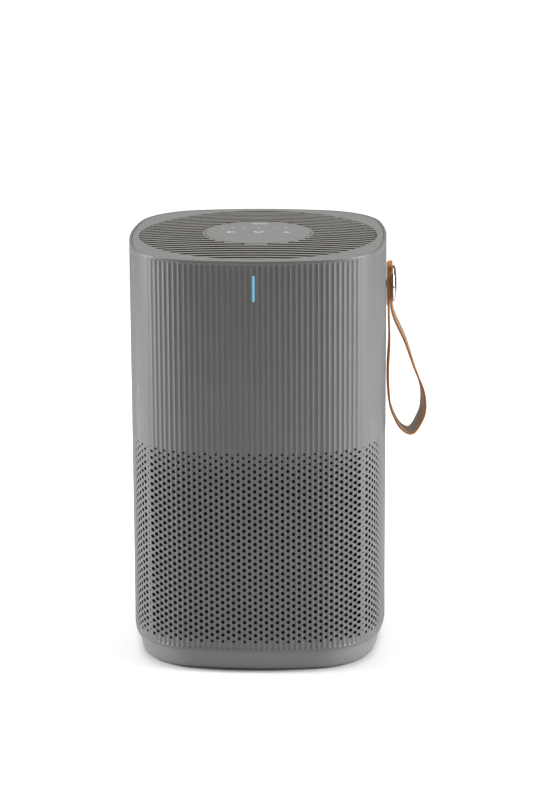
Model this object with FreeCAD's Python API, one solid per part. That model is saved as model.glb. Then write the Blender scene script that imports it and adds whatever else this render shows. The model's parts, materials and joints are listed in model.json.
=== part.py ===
# Tabletop air purifier: fluted shell on a stepped base, domed outlet grille, leather carrying strap.
# Millimetres. +Z is up, -Y is the front, +X is the strap side. Origin: centre of the base, on the floor.
import FreeCAD
import Part
import math
import os
from FreeCAD import Vector

# ---------------------------------------------------------------- driving dimensions
# body
body_width = 218.0         # square plan, across opposite sides
body_height = 356.3        # floor to rim
side_radius = 300.0        # plan arc of each bulged side
corner_radius = 61.0       # plan arc of each corner
shell_wall = 2.2
flutes_per_side = 40       # grooves from one side's middle to the next side's middle
flute_depth = 0.7
flute_end = 2.1            # plain band between the flutes' top and the rim
seam_z = 18.8              # where the shell meets the base
fit_gap = 0.3              # clearance between covers that drop into each other
screw_gap = 0.05           # clearance round a screw or stud

# base
base_side_inset = 1.8      # base's plan inside the shell's plan, at the seam
base_edge_inset = 5.5      # the same at the lower edge of the base's side
base_edge_z = 4.2
base_belly_inset = 6.5     # the same part-way down the underside's bevel
base_belly_z = 2.2
base_bottom_inset = 9.0    # the same at the flat underside
base_bottom_z = 1.5
base_floor_z = 6.5         # inside floor of the base
base_wall = 3.2
spigot_height = 7.0        # lip of the base that locates the shell
foot_width = 3.9           # rubber ring that the base stands on
foot_height = 2.8
foot_margin = 0.9          # between the door's opening and the foot ring's groove
collar_height = 12.0       # guides the filter door
collar_wall = 2.6

# inner frame
post_inset = 23.0          # posts inside the corners of the plan
post_radius = 6.0
deck_thickness = 3.0
fan_section = 160.3        # deck's underside to rim
screw_radius = 1.5
screw_head_radius = 2.8
screw_head_height = 2.4
screw_length = 14.0
ear_width = 12.0           # lugs that the duct's screws pass through
ear_height = 2.5
ring_screw_inset = 17.0    # screws of the top ring, inside the corners of the plan
ring_screw_grip = 6.0

# filter and its door
plenum = 26.8              # between shell and filter
filter_core = 53.0         # inner radius of the filter's end caps
filter_z = 12.0            # underside of the filter
end_cap = 5.0
media_inner = 58.0
carbon_thickness = 3.6
mesh_thickness = 1.2
seal_inner = 62.0
seal_width = 6.0
seal_height = 3.7
door_gap = 0.4
door_z = 1.2               # door's underside above the floor
door_thickness = 3.0
door_rim = 4.0             # door's radius beyond the filter's
grip_radius = 32.0
grip_depth = 16.8
grip_bar = 12.0
grip_bar_height = 8.0
grip_wall = 2.0
seat_wall = 3.0            # ring on the door that carries the filter
skirt_height = 7.0
tab_width = 20.0
tab_thickness = 1.2

# outlet duct
board_bay = 20.8           # between duct and shell, where the boards stand
duct_wall = 2.0
duct_flare = 22.4          # height of the duct's flare and flange
flange_height = 4.0
shelf_width = 4.0
shelf_height = 3.0

# fan and motor
impeller_gap = 6.0         # deck to impeller
impeller_height = 55.0
impeller_clearance = 9.0   # impeller's rim to the duct
inlet_radius = 54.0
guard_height = 2.0         # guard under the inlet: spokes in its lower half, rings in its upper half
guard_web = 1.6
guard_rim = 6.0
guard_lap = 3.0            # how far the rim reaches past the inlet
guard_first = 12.0         # bore of the innermost ring
guard_step = 13.0          # from ring to ring
bell_wall = 2.0            # lip of the deck inside the impeller's mouth
impeller_skin = 1.5
backplate = 2.5
blade_count = 9
blade_root = 40.0
blade_sweep = (0, -22, -38)  # degrees at the blade's root, middle and tip
shroud_rise = 15.0         # inlet edge to the shroud's rim
shroud_collar = 6.0
hub_radius = 10.0
hub_height = 14.0
shaft_radius = 3.0
bearing_gap = 0.03         # shaft in its bearings
bearing_radius = 6.55
bearing_height = 5.0
can_radius = 27.0
can_height = 28.0
can_wall = 2.0
magnet_thickness = 1.6
air_gap = 0.6
stator_height = 16.0
stator_slots = 12
tube_wall = 1.9
nut_height = 5.0
nut_corner = 6.0
bracket_lap = 2.0          # bracket's ring below the open end of the can
bracket_screw_radius = 1.0
bracket_screw_head = 1.9
board_boss_radius = 2.5
cover_height = 9.0
cover_wall = 1.5
bracket_height = 13.0
bracket_hub = 34.0
bracket_vanes = 7
vane_thickness = 2.2
bracket_ring = 3.7

# outlet
ring_thickness = 3.0
ring_depth = 11.3          # rim to the seat of the ring and grille
ring_skirt = 1.6
ring_margin = 5.8          # between the shell's inside and the outlet, at the middle of a side
ledge_width = 2.5
ledge_thickness = 2.5
grille_hoop = 2.9
grille_drop = 0.6          # rim to the grille's edge
dome_rise = 3.1            # grille's edge to its middle
slat_pitch = 7.37
slat_width = 3.9
slat_depth = 7.0           # edge of the dome to the slats' underside
disc_radius = 44.6
disc_edge_drop = 1.1       # rim to the disc's underside
hub_ring = 2.4
hub_ring_drop = 8.3        # rim to the underside of the ring round the disc
pod_height = 19.2
pod_wall = 2.0
pod_flange = 2.5
pod_boss_radius = 3.4
pod_board_drop = 4.2       # disc's underside to the control board
board_thickness = 1.6
stand_radius = 2.5
icon_spacing = 24.0
pad_radius = 4.0

# boards beside the duct
rail_x = 34.0              # pillars that carry the main board, either side of the middle
rail_side = 6.0
board_back_gap = 8.8       # shell's inside to the main board's front face
board_foot = 4.0           # deck to the lowest screw's margin
main_board_height = 80.0
sensor_port = 4.0
sensor_gap = 2.0
sensor_depth = 12.0
sensor_width = 40.0
sensor_height = 38.0

# front light
light_width = 3.4
light_length = 22.0
light_top = 12.3           # rim to the light's top
light_board_thickness = 1.0
light_margin = 2.0         # light's flange past its ends

# strap
strap_width = 24.0
strap_thickness = 1.9
strap_slit = 0.3           # between the two layers where the loop opens
patch_thickness = 1.1
strap_root_drop = 59.8     # rim to the line where the strap leaves its stack
strap_top_drop = 25.3      # rim to the stack's top
button_drop = 42.7         # rim to the button's centre
button_radius = 15.8
button_thickness = 3.4
button_round = 1.3
button_cap = 1.3           # button's metal over the end of the stud
stud_radius = 3.0
washer_radius = 9.0
washer_thickness = 1.2
strap_nut_height = 2.4
strap_nut_corner = 5.8
wall_relief = 0.3          # flat washer inside the curved wall
# centre line of the hanging loop, from the strap's root: (outwards, down)
loop_points = [(1.0, 0.0), (3.9, 11.5), (11.3, 27.5), (23.2, 59.5), (29.9, 83.5), (26.6, 99.5),
               (17.8, 110.5), (5.6, 99.5), (-0.5, 82.5), (-1.2, 50.5), (-0.4, 31.5), (-1.0, 0.0)]

# power inlet
inlet_bore = 5.0
inlet_z = 12.0
jack_width = 9.0
jack_depth = 12.0
jack_socket = 3.2
jack_pin = 0.9

# ---------------------------------------------------------------- worked-out sizes
half_width = body_width / 2
rim_z = body_height
ring_z = rim_z - ring_thickness
ledge_z = ring_z - ledge_thickness
seat_z = rim_z - ring_depth
flare_z = seat_z - duct_flare
bell_radius = inlet_radius - impeller_skin
deck_z = rim_z - fan_section
deck_top = deck_z + deck_thickness
inner_half = half_width - shell_wall
filter_radius = inner_half - plenum
door_radius = filter_radius + door_rim
opening_radius = door_radius + door_gap
duct_outer = inner_half - board_bay
duct_inner = duct_outer - duct_wall
outlet_radius = inner_half - ring_margin
grille_radius = outlet_radius - fit_gap
impeller_radius = duct_inner - impeller_clearance
impeller_z = deck_top + impeller_gap
impeller_top = impeller_z + impeller_height
can_top = impeller_top + can_height
shelf_z = can_top - bracket_lap
bracket_top = shelf_z + bracket_height
motor_board_z = can_top + 3.5
tube_z = impeller_top + can_wall + 2
lower_bearing_z = tube_z + 2
upper_bearing_z = bracket_top - 9
shaft_top = bracket_top + 1
filter_top_z = deck_z - fit_gap - seal_height
board_y = inner_half - board_back_gap
hub_z = rim_z - hub_ring_drop
disc_z = rim_z - disc_edge_drop
control_board_z = disc_z - pod_board_drop
light_z = rim_z - light_top - light_length / 2
light_flange_y = -inner_half + 0.1
light_back_y = -(outlet_radius + ring_skirt + 1.6)
jack_back = half_width - base_edge_inset - base_wall - fit_gap
tube_bore = bearing_radius + screw_gap
tube_radius = tube_bore + tube_wall
stack_x = half_width + fit_gap + patch_thickness
stack_front = stack_x + 2 * strap_thickness
strap_root_z = rim_z - strap_root_drop
button_z = rim_z - button_drop

parts = {}


# ---------------------------------------------------------------- helpers
def side_centre():
    """Distance of a side arc's centre from the origin, negative because it lies beyond it."""
    return half_width - side_radius


def corner_centre():
    """Both coordinates of a corner arc's centre, where it is tangent to the two sides."""
    b = side_centre()
    return (b + math.sqrt(2 * (side_radius - corner_radius) ** 2 - b ** 2)) / 2


def side_angle():
    """Half the angle of a side arc."""
    k = corner_centre()
    return math.atan2(k, k - side_centre())


def quarter_length():
    """Length of the plan from one side's middle to the next."""
    return 2 * side_radius * side_angle() + corner_radius * (math.pi / 2 - 2 * side_angle())


def plan_point(length, inset):
    """Point of the plan, a length past the middle of the +X side and an inset inside it."""
    quarter = quarter_length()
    turns, rest = divmod(length, quarter)
    half_side = side_radius * side_angle()
    if rest < half_side:
        centre, radius, angle = Vector(side_centre(), 0, 0), side_radius, rest / side_radius
    elif rest < quarter - half_side:
        k = corner_centre()
        centre, radius = Vector(k, k, 0), corner_radius
        angle = side_angle() + (rest - half_side) / corner_radius
    else:
        centre, radius = Vector(0, side_centre(), 0), side_radius
        angle = math.pi / 2 - (quarter - rest) / side_radius
    point = centre + Vector(math.cos(angle), math.sin(angle), 0) * (radius - inset)
    return turned(point, turns * 90)


def turned(point, degrees):
    a = math.radians(degrees)
    return Vector(point.x * math.cos(a) - point.y * math.sin(a),
                  point.x * math.sin(a) + point.y * math.cos(a), point.z)


def corner_reach(inset):
    """Distance of the plan's corner from the centre, along the diagonal."""
    return corner_centre() * math.sqrt(2) + corner_radius - inset


def diagonal(radius, index):
    """Point on one of the four diagonals."""
    return turned(Vector(radius, 0, 0), 45 + 90 * index)


def plan_wire(inset, z=0.0):
    """The plan, inset: four side arcs and four corner arcs."""
    half_side = side_radius * side_angle()
    quarter = quarter_length()
    edges = []
    for i in range(4):
        stops = [i * quarter - half_side, i * quarter, i * quarter + half_side]
        stops += [(i + 0.5) * quarter, (i + 1) * quarter - half_side]
        p = [plan_point(s, inset) + Vector(0, 0, z) for s in stops]
        edges.append(Part.Arc(p[0], p[1], p[2]).toShape())
        edges.append(Part.Arc(p[2], p[3], p[4]).toShape())
    return Part.Wire(edges)


def fluted_wire(z):
    """The plan with a round groove at every flute and a ridge between each two."""
    pitch = quarter_length() / flutes_per_side
    edges = []
    for i in range(4 * flutes_per_side):
        low, middle, high = [plan_point((i + t) * pitch, d) + Vector(0, 0, z)
                             for t, d in ((-0.5, 0), (0, flute_depth), (0.5, 0))]
        edges.append(Part.Arc(low, middle, high).toShape())
    return Part.Wire(edges)


def prism(wire, height):
    return Part.Face(wire).extrude(Vector(0, 0, height))


def plate(inset, z0, z1):
    return prism(plan_wire(inset, z0), z1 - z0)


def disc(radius, z0, z1, at=Vector(0, 0, 0)):
    return Part.makeCylinder(radius, z1 - z0, at + Vector(0, 0, z0))


def tube(inner, outer, z0, z1, at=Vector(0, 0, 0)):
    return disc(outer, z0, z1, at).cut(disc(inner, z0 - 1, z1 + 1, at))


def block(x0, x1, y0, y1, z0, z1):
    return Part.makeBox(x1 - x0, y1 - y0, z1 - z0, Vector(x0, y0, z0))


def spun(points):
    """Solid of revolution about Z of a closed (radius, height) outline."""
    corners = [Vector(r, 0, z) for r, z in points]
    face = Part.Face(Part.makePolygon(corners + corners[:1]))
    return face.revolve(Vector(0, 0, 0), Vector(0, 0, 1), 360)


def rotated(shape, degrees):
    copy = shape.copy()
    copy.rotate(Vector(0, 0, 0), Vector(0, 0, 1), degrees)
    return copy


def ring_of(shape, count, start=0.0):
    """Copies of a shape, spread evenly round the axis."""
    return [rotated(shape, start + 360 * i / count) for i in range(count)]


def joined(shapes):
    whole = shapes[0].multiFuse(shapes[1:]).removeSplitter()
    return whole.Solids[0] if len(whole.Solids) == 1 else whole


def less(shape, tools):
    cut = shape.cut(tools)
    return cut.Solids[0] if len(cut.Solids) == 1 else cut


def screw(at, tip, radius=screw_radius, head_radius=screw_head_radius, head=screw_head_height):
    """Screw with its head's seat at a point and its tip at another."""
    axis = (tip - at).normalize()
    shank = Part.makeCylinder(radius, (tip - at).Length, at, axis)
    return shank.fuse(Part.makeCylinder(head_radius, head, at, axis * -1)).removeSplitter().Solids[0]


def hole(at, tip, radius=screw_radius + screw_gap):
    return Part.makeCylinder(radius, (tip - at).Length, at, (tip - at).normalize())


def group(shapes):
    return Part.makeCompound(shapes)


def keep(name, shape):
    parts[name] = shape


# ---------------------------------------------------------------- shell and base
def stadium(width, length, y0, y1, z_middle):
    """Upright bar with round ends, front to back from y0 to y1."""
    run = (length - width) / 2
    bar = block(-width / 2, width / 2, y0, y1, z_middle - run, z_middle + run)
    ends = [Part.makeCylinder(width / 2, y1 - y0, Vector(0, y0, z_middle + s * run), Vector(0, 1, 0))
            for s in (-1, 1)]
    return joined([bar] + ends)


def outer_shell():
    flute_top = rim_z - flute_end
    outside = prism(fluted_wire(seam_z), flute_top - seam_z).fuse(plate(0, flute_top, rim_z))
    ledge = plate(shell_wall, ledge_z, ring_z).cut(plate(shell_wall + ledge_width, ledge_z, ring_z))
    walls = outside.cut(plate(shell_wall, seam_z, rim_z)).fuse(ledge)
    slot = stadium(light_width + 2 * screw_gap, light_length + 2 * screw_gap,
                   -half_width, -inner_half + 1, light_z)
    stud_hole = hole(Vector(inner_half - 1, 0, button_z), Vector(half_width + 1, 0, button_z),
                     stud_radius + screw_gap)
    return less(walls, [slot, stud_hole])


def base_screw_points():
    return [diagonal(corner_reach(post_inset), i) for i in range(4)]


def base_plinth():
    stations = [(base_bottom_inset, base_bottom_z), (base_belly_inset, base_belly_z),
                (base_edge_inset, base_edge_z), (base_side_inset, seam_z)]
    outside = Part.makeLoft([plan_wire(inset, z) for inset, z in stations], True, True)
    cavity = plate(base_edge_inset + base_wall, base_floor_z, seam_z)
    spigot_inset = shell_wall + fit_gap
    spigot = plate(spigot_inset, seam_z, seam_z + spigot_height)
    spigot = spigot.cut(plate(base_edge_inset + base_wall, seam_z, seam_z + spigot_height))
    collar = disc(opening_radius + collar_wall, base_floor_z, base_bottom_z + collar_height)
    body = joined([outside.cut(cavity), spigot, collar])
    foot_inner = opening_radius + foot_margin
    cuts = [disc(opening_radius, 0, base_bottom_z + collar_height),
            tube(foot_inner, foot_inner + foot_width, base_bottom_z - 1, foot_height)]
    for p in base_screw_points():
        seat = p + Vector(0, 0, base_bottom_z + screw_head_height)
        cuts.append(hole(p, p + Vector(0, 0, base_floor_z)))
        cuts.append(hole(p, seat, screw_head_radius + fit_gap))
    cuts.append(hole(Vector(0, half_width - base_edge_inset - base_wall - 1, inlet_z),
                     Vector(0, half_width, inlet_z), inlet_bore))
    return less(body, cuts)


def foot_ring():
    inner = opening_radius + foot_margin
    return tube(inner, inner + foot_width, 0, foot_height)


def base_screws():
    seat = Vector(0, 0, base_bottom_z + screw_head_height)
    return group([screw(p + seat, p + seat + Vector(0, 0, screw_length)) for p in base_screw_points()])


def power_inlet():
    """Barrel socket with its centre pin, standing on the base's floor."""
    half = jack_width / 2
    front = jack_back - jack_depth
    mouth = Vector(0, jack_back, inlet_z)
    body = block(-half, half, front, jack_back, inlet_z - half, inlet_z + half)
    leg = block(-half, half, front, jack_back - 2, base_floor_z, inlet_z - half)
    socket = hole(mouth, mouth - Vector(0, jack_depth - 3, 0), jack_socket)
    pin = hole(mouth - Vector(0, 1, 0), mouth - Vector(0, jack_depth - 2, 0), jack_pin)
    return joined([body.cut(socket), leg, pin])


# ---------------------------------------------------------------- inner frame and duct
def frame_post(index):
    p = diagonal(corner_reach(post_inset), index)
    post = disc(post_radius, base_floor_z, deck_z, p)
    low = p + Vector(0, 0, base_floor_z)
    high = p + Vector(0, 0, deck_z)
    depth = Vector(0, 0, screw_length)
    return less(post, [hole(low, low + depth), hole(high, high - depth)])


def fan_deck():
    sheet = plate(shell_wall + fit_gap, deck_z, deck_top)
    cuts = [disc(bell_radius - bell_wall, deck_z, deck_top),
            disc(sensor_port, deck_z, deck_top, sensor_point())]
    cuts += [hole(p + Vector(0, 0, deck_z), p + Vector(0, 0, deck_top)) for p in base_screw_points()]
    return less(sheet, cuts)


def inlet_bell():
    """Lip round the inlet, standing on the deck and reaching into the impeller's mouth."""
    return tube(bell_radius - bell_wall, bell_radius, deck_top, impeller_z + 4)


def board_rails():
    """Two pillars on the deck that carry the main board."""
    rails = group([block(s * rail_x - rail_side / 2, s * rail_x + rail_side / 2,
                         board_y - rail_side, board_y, deck_top, deck_top + board_foot + main_board_height)
                   for s in (-1, 1)])
    return less(rails, [hole(p, p - Vector(0, rail_side - 1, 0)) for p in board_screw_points()])


def inlet_guard():
    outer = inlet_radius + guard_lap
    return tube(outer - guard_rim, outer, deck_z - guard_height, deck_z)


def guard_ring(index):
    bore = guard_first + index * guard_step
    return tube(bore, bore + guard_web, deck_z - guard_height / 2, deck_z)


def guard_ring_inner():
    return guard_ring(0)


def guard_ring_middle():
    return guard_ring(1)


def guard_ring_outer():
    return guard_ring(2)


def guard_spokes():
    """A hub and four arms that carry the rings and end on the rim."""
    low = deck_z - guard_height
    hub = disc(guard_web * 2, low, deck_z)
    rim_bore = disc(inlet_radius + guard_lap - guard_rim, low, deck_z)
    arm = block(0, inlet_radius, -guard_web / 2, guard_web / 2, low, deck_z - guard_height / 2)
    return group([hub] + ring_of(less(arm.common(rim_bore), [hub]), 4, 45))


def ring_screw_points(z):
    return [diagonal(corner_reach(ring_screw_inset), i) + Vector(0, 0, z) for i in range(4)]


def duct_body():
    flange_z = seat_z - flange_height
    mouth = grille_radius - grille_hoop
    rim = outlet_radius + ring_skirt
    shelf = duct_inner - shelf_width
    wall = spun([(duct_outer, deck_top), (duct_outer, flare_z), (mouth + duct_wall, flange_z),
                 (rim, flange_z), (rim, seat_z), (mouth, seat_z), (mouth, flange_z + 1),
                 (duct_inner, flare_z + 1), (duct_inner, shelf_z), (shelf, shelf_z),
                 (shelf, shelf_z - shelf_height), (duct_inner, shelf_z - shelf_height - shelf_width),
                 (duct_inner, deck_top)])
    low_reach = corner_reach(post_inset) + ear_width / 2
    low_ear = block(duct_outer - 1, low_reach, -ear_width / 2, ear_width / 2,
                    deck_top, deck_top + ear_height)
    high_reach = corner_reach(ring_screw_inset) + ear_width / 2
    high_ear = block(rim - 1, high_reach, -ear_width / 2, ear_width / 2, flange_z, seat_z)
    body = joined([wall] + ring_of(low_ear, 4, 45) + ring_of(high_ear, 4, 45))
    lift = Vector(0, 0, deck_top)
    cuts = [hole(p + lift, p + lift + Vector(0, 0, ear_height)) for p in base_screw_points()]
    cuts += [hole(p, p + Vector(0, 0, flange_height)) for p in ring_screw_points(flange_z)]
    cuts += [hole(p, p - Vector(0, 0, shelf_height), bracket_screw_radius + screw_gap)
             for p in bracket_screw_points(shelf_z)]
    return less(body, cuts)


def duct_between(low, high):
    return duct_body().common(disc(body_width, low, high)).Solids[0]


def fan_duct():
    """Lower ring of the duct, from the deck to the shelf that carries the motor's bracket."""
    return duct_between(deck_top, shelf_z)


def duct_riser():
    """Plain ring from the shelf to the flare."""
    return duct_between(shelf_z, flare_z)


def duct_collar():
    """Flared ring with the flange that the top ring and grille sit on."""
    return duct_between(flare_z, seat_z)


def deck_screws():
    seat = Vector(0, 0, deck_top + ear_height)
    return group([screw(p + seat, p + seat - Vector(0, 0, screw_length)) for p in base_screw_points()])


def ring_screws():
    reach = Vector(0, 0, flange_height + ring_screw_grip)
    return group([screw(p, p + reach) for p in ring_screw_points(seat_z - flange_height)])


# ---------------------------------------------------------------- motor and fan
def bracket_screw_points(z):
    radius = duct_inner - bracket_screw_head - fit_gap
    return [turned(Vector(radius, 0, z), 120 * i + 60) for i in range(3)]


def motor_bracket():
    hub_plate = 3.0
    ring_outer = duct_inner - fit_gap
    ring = tube(ring_outer - bracket_ring, ring_outer, shelf_z, bracket_top)
    hub = disc(bracket_hub, bracket_top - hub_plate, bracket_top)
    skirt = tube(bracket_hub - 2, bracket_hub, shelf_z, bracket_top)
    vane = block(bracket_hub - 1, ring_outer - bracket_ring + 1, -vane_thickness / 2, vane_thickness / 2,
                 shelf_z, bracket_top)
    boss = disc(board_boss_radius, motor_board_z + board_thickness, bracket_top - 1, Vector(20, 0, 0))
    body = joined([ring, hub, skirt] + ring_of(vane, bracket_vanes) + ring_of(boss, 3, 30))
    cuts = [disc(tube_radius + screw_gap, shelf_z, bracket_top)]
    cuts += [hole(p, p - Vector(0, 0, bracket_height), bracket_screw_radius + screw_gap)
             for p in bracket_screw_points(bracket_top)]
    return less(body, cuts)


def bracket_screws():
    length = Vector(0, 0, bracket_height + shelf_height - 0.5)
    return group([screw(p, p - length, bracket_screw_radius, bracket_screw_head, 1.6)
                  for p in bracket_screw_points(bracket_top)])


def motor_cover():
    radius = bracket_hub - 1
    inside = disc(radius - cover_wall, bracket_top, bracket_top + cover_height - cover_wall)
    return disc(radius, bracket_top, bracket_top + cover_height).cut(inside)


def motor_stator():
    gap_radius = can_radius - can_wall - magnet_thickness - air_gap
    z0 = impeller_top + can_wall + 6
    core = tube(tube_radius + screw_gap, gap_radius, z0, z0 + stator_height)
    slot = block(tube_radius + 5, gap_radius - 2, -2.3, 2.3, z0 - 1, z0 + stator_height + 1)
    mouth = block(tube_radius + 5, gap_radius + 1, -0.8, 0.8, z0 - 1, z0 + stator_height + 1)
    return less(core, ring_of(slot, stator_slots) + ring_of(mouth, stator_slots))


def motor_board():
    return tube(tube_radius + 1, can_radius - can_wall, motor_board_z, motor_board_z + board_thickness)


def bearing(z):
    return tube(shaft_radius + bearing_gap, bearing_radius, z, z + bearing_height)


def rotor_can():
    cup = disc(can_radius, impeller_top, can_top)
    inside = disc(can_radius - can_wall, impeller_top + can_wall, can_top)
    return less(cup, [inside, disc(shaft_radius + screw_gap, impeller_top, can_top)])


def rotor_magnets():
    outer = can_radius - can_wall
    return tube(outer - magnet_thickness, outer, impeller_top + can_wall + 3, can_top - 1)


def blade():
    """One backward-curved blade: a thin curved wall, trimmed to the shape seen from the side."""
    def at(radius, degrees, side):
        return turned(Vector(radius, side, impeller_z), degrees)

    tip = impeller_radius - 0.5
    middle = (blade_root + tip) / 2
    stops = list(zip((blade_root, middle, tip), blade_sweep))
    front = [at(r, a, impeller_skin / 2) for r, a in stops]
    back = [at(r, a, -impeller_skin / 2) for r, a in stops]
    wire = Part.Wire([Part.Arc(*front).toShape(), Part.makeLine(front[2], back[2]),
                      Part.Arc(back[2], back[1], back[0]).toShape(), Part.makeLine(back[0], front[0])])
    wall = prism(wire, impeller_height)
    collar_z = impeller_z + shroud_collar
    top = impeller_top - backplate / 2
    side = spun([(blade_root - 5, top), (impeller_radius, top),
                 (impeller_radius, collar_z + shroud_rise + impeller_skin / 2),
                 (inlet_radius + impeller_skin / 2, collar_z), (blade_root - 5, collar_z + 22)])
    return wall.common(side)


def impeller_shroud():
    """Mouth and cone that close the blades from below."""
    collar_z = impeller_z + shroud_collar
    rim_low = collar_z + shroud_rise
    skin = impeller_skin
    return spun([(inlet_radius, impeller_z), (inlet_radius + skin, impeller_z),
                 (inlet_radius + skin, collar_z), (impeller_radius, rim_low),
                 (impeller_radius, rim_low + skin), (inlet_radius, collar_z + skin)])


def impeller():
    plate_disc = disc(impeller_radius, impeller_top - backplate, impeller_top)
    hub = disc(hub_radius, impeller_top - hub_height, impeller_top)
    body = joined([plate_disc, hub] + ring_of(blade(), blade_count))
    return less(body, [disc(shaft_radius + screw_gap, impeller_z, impeller_top), impeller_shroud()])


def impeller_nut():
    top = impeller_top - hub_height
    corners = [turned(Vector(nut_corner, 0, top - nut_height), 60 * i) for i in range(7)]
    nut = prism(Part.makePolygon(corners), nut_height)
    return nut.cut(disc(shaft_radius + screw_gap, top - nut_height, top))


def motor_shaft():
    return disc(shaft_radius, impeller_top - hub_height - nut_height - 1, shaft_top)


def shaft_clip():
    z0 = upper_bearing_z + bearing_height + 0.3
    return tube(shaft_radius + screw_gap / 2, shaft_radius + 2.2, z0, z0 + 1)


# ---------------------------------------------------------------- filter
def ring_between(inner, outer):
    return tube(inner, outer, filter_z + end_cap, filter_top_z - end_cap)


def filter_seal():
    return tube(seal_inner, seal_inner + seal_width, filter_top_z, filter_top_z + seal_height)


def filter_pull_tab():
    """Flat fabric tab under the lower end cap, reaching into the core."""
    inner = grip_radius + 2 * grip_wall
    return block(inner, seal_inner - 1, -tab_width / 2, tab_width / 2, filter_z - tab_thickness, filter_z)


def filter_door():
    top = door_z + door_thickness
    grip_top = door_z + grip_depth
    base = disc(door_radius, door_z, top)
    skirt = tube(door_radius - 2, door_radius, door_z, top + skirt_height)
    seat = tube(seal_inner, seal_inner + seat_wall, door_z, filter_z)
    cup = disc(grip_radius + grip_wall, door_z, grip_top + grip_wall)
    body = joined([base, skirt, seat, cup]).cut(disc(grip_radius, door_z, grip_top))
    bar = block(-grip_radius - 1, grip_radius + 1, -grip_bar / 2, grip_bar / 2,
                door_z, door_z + grip_bar_height)
    return joined([body, bar])


# ---------------------------------------------------------------- boards beside the duct
def board_screw_points():
    """Screw seats on the main board's rear face, from which the screws point forwards."""
    heights = [deck_top + board_foot + t for t in (5, main_board_height - 5)]
    return [Vector(s * rail_x, board_y, z) for s in (-1, 1) for z in heights]


def main_board():
    half = rail_x + rail_side / 2 + 1
    low = deck_top + fit_gap
    high = deck_top + board_foot + main_board_height
    board = block(-half, half, board_y, board_y + board_thickness, low, high)
    back = Vector(0, board_thickness, 0)
    return less(board, [hole(p, p + back) for p in board_screw_points()])


def board_screws():
    back = Vector(0, board_thickness, 0)
    reach = Vector(0, rail_side - 1.5, 0)
    return group([screw(p + back, p - reach, head_radius=2.4, head=1.8) for p in board_screw_points()])


def board_components():
    """Capacitors, a coil and sockets on the face towards the duct."""
    z0 = deck_top
    toward = Vector(0, -1, 0)
    capacitors = [Part.makeCylinder(5, 10, Vector(x, board_y, z0 + 18), toward) for x in (-24, 24)]
    coil = Part.makeCylinder(6, 7, Vector(18, board_y, z0 + 60), toward)
    sockets = [block(x - 6, x + 6, board_y - 6, board_y, z0 + 34, z0 + 42) for x in (-16, 4, 22)]
    chip = block(-14, -4, board_y - 1.4, board_y, z0 + 52, z0 + 62)
    return group(capacitors + [coil, chip] + sockets)


def sensor_point():
    return Vector(-(duct_outer + sensor_gap + sensor_depth / 2), 0, 0)


def particle_sensor():
    x = sensor_point().x
    body = block(x - sensor_depth / 2, x + sensor_depth / 2, -sensor_width / 2, sensor_width / 2,
                 deck_top, deck_top + sensor_height)
    chamber = disc(sensor_port, deck_top, deck_top + 6, sensor_point())
    return body.cut(chamber)


# ---------------------------------------------------------------- outlet and controls
def dome():
    """Everything under the grille's shallow dome, as a solid to trim with."""
    edge_z = rim_z - grille_drop
    radius = (grille_radius ** 2 + dome_rise ** 2) / (2 * dome_rise)
    ball = Part.makeSphere(radius)
    ball.rotate(Vector(0, 0, 0), Vector(1, 0, 0), 90)    # its poles and seam stay off the dome
    ball.translate(Vector(0, 0, edge_z + dome_rise - radius))
    return ball.common(disc(grille_radius + 5, seat_z - 40, rim_z + 2 * dome_rise))


def top_ring():
    sheet = plate(shell_wall + fit_gap, ring_z, rim_z)
    skirt = disc(outlet_radius + ring_skirt, seat_z, ring_z)
    bosses = [disc(4, seat_z, ring_z, p) for p in ring_screw_points(0)]
    body = joined([sheet, skirt] + bosses).cut(disc(outlet_radius, seat_z, rim_z))
    depth = Vector(0, 0, ring_screw_grip + 1)
    return less(body, [hole(p, p + depth) for p in ring_screw_points(seat_z)])


def pod_screw_points(z):
    radius = disc_radius + fit_gap + hub_ring + pod_boss_radius - 1
    return [turned(Vector(radius, 0, z), 90 + 120 * i) for i in range(3)]


def outlet_grille():
    """Parallel slats between an outer hoop and the ring round the control disc."""
    low = rim_z - grille_drop - slat_depth
    high = rim_z + dome_rise
    bore = disc_radius + fit_gap
    inside = grille_radius - grille_hoop
    rows = int((inside - slat_width) / slat_pitch)
    slats = []
    for i in range(-rows, rows + 1):
        y0 = i * slat_pitch - slat_width / 2
        reach = math.sqrt((inside + grille_hoop / 2) ** 2 - max(abs(y0), abs(y0 + slat_width)) ** 2)
        slats.append(block(-reach, reach, y0, y0 + slat_width, low, high))
    inner = disc(bore + hub_ring, hub_z, high)
    hoop = tube(inside, grille_radius, seat_z, high)
    bosses = [disc(pod_boss_radius, hub_z, hub_z + 4, p) for p in pod_screw_points(0)]
    body = joined(slats + [inner, hoop] + bosses).common(dome())
    cuts = [disc(bore, hub_z - 1, high)]
    return less(body, cuts + [hole(p, p + Vector(0, 0, 3.5)) for p in pod_screw_points(hub_z)])


def control_disc():
    return disc(disc_radius, disc_z, rim_z + dome_rise).common(dome()).Solids[0]


def control_housing():
    low = disc_z - pod_height
    flange_z = hub_z - pod_flange
    cup = disc(disc_radius, low, disc_z)
    lugs = [disc(pod_boss_radius, flange_z, hub_z, p) for p in pod_screw_points(0)]
    collar = disc(disc_radius + fit_gap + hub_ring, flange_z, hub_z)
    hollow = disc(disc_radius - pod_wall, low + pod_wall, disc_z)
    body = joined([cup, collar] + lugs).cut(hollow)
    reach = disc_radius - pod_wall - 2 * stand_radius
    stands = [disc(stand_radius, low + pod_wall, control_board_z, turned(Vector(reach, 0, 0), 30 + 120 * i))
              for i in range(3)]
    screws = [hole(p, p + Vector(0, 0, pod_flange)) for p in pod_screw_points(flange_z)]
    return less(joined([body] + stands), screws)


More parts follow.
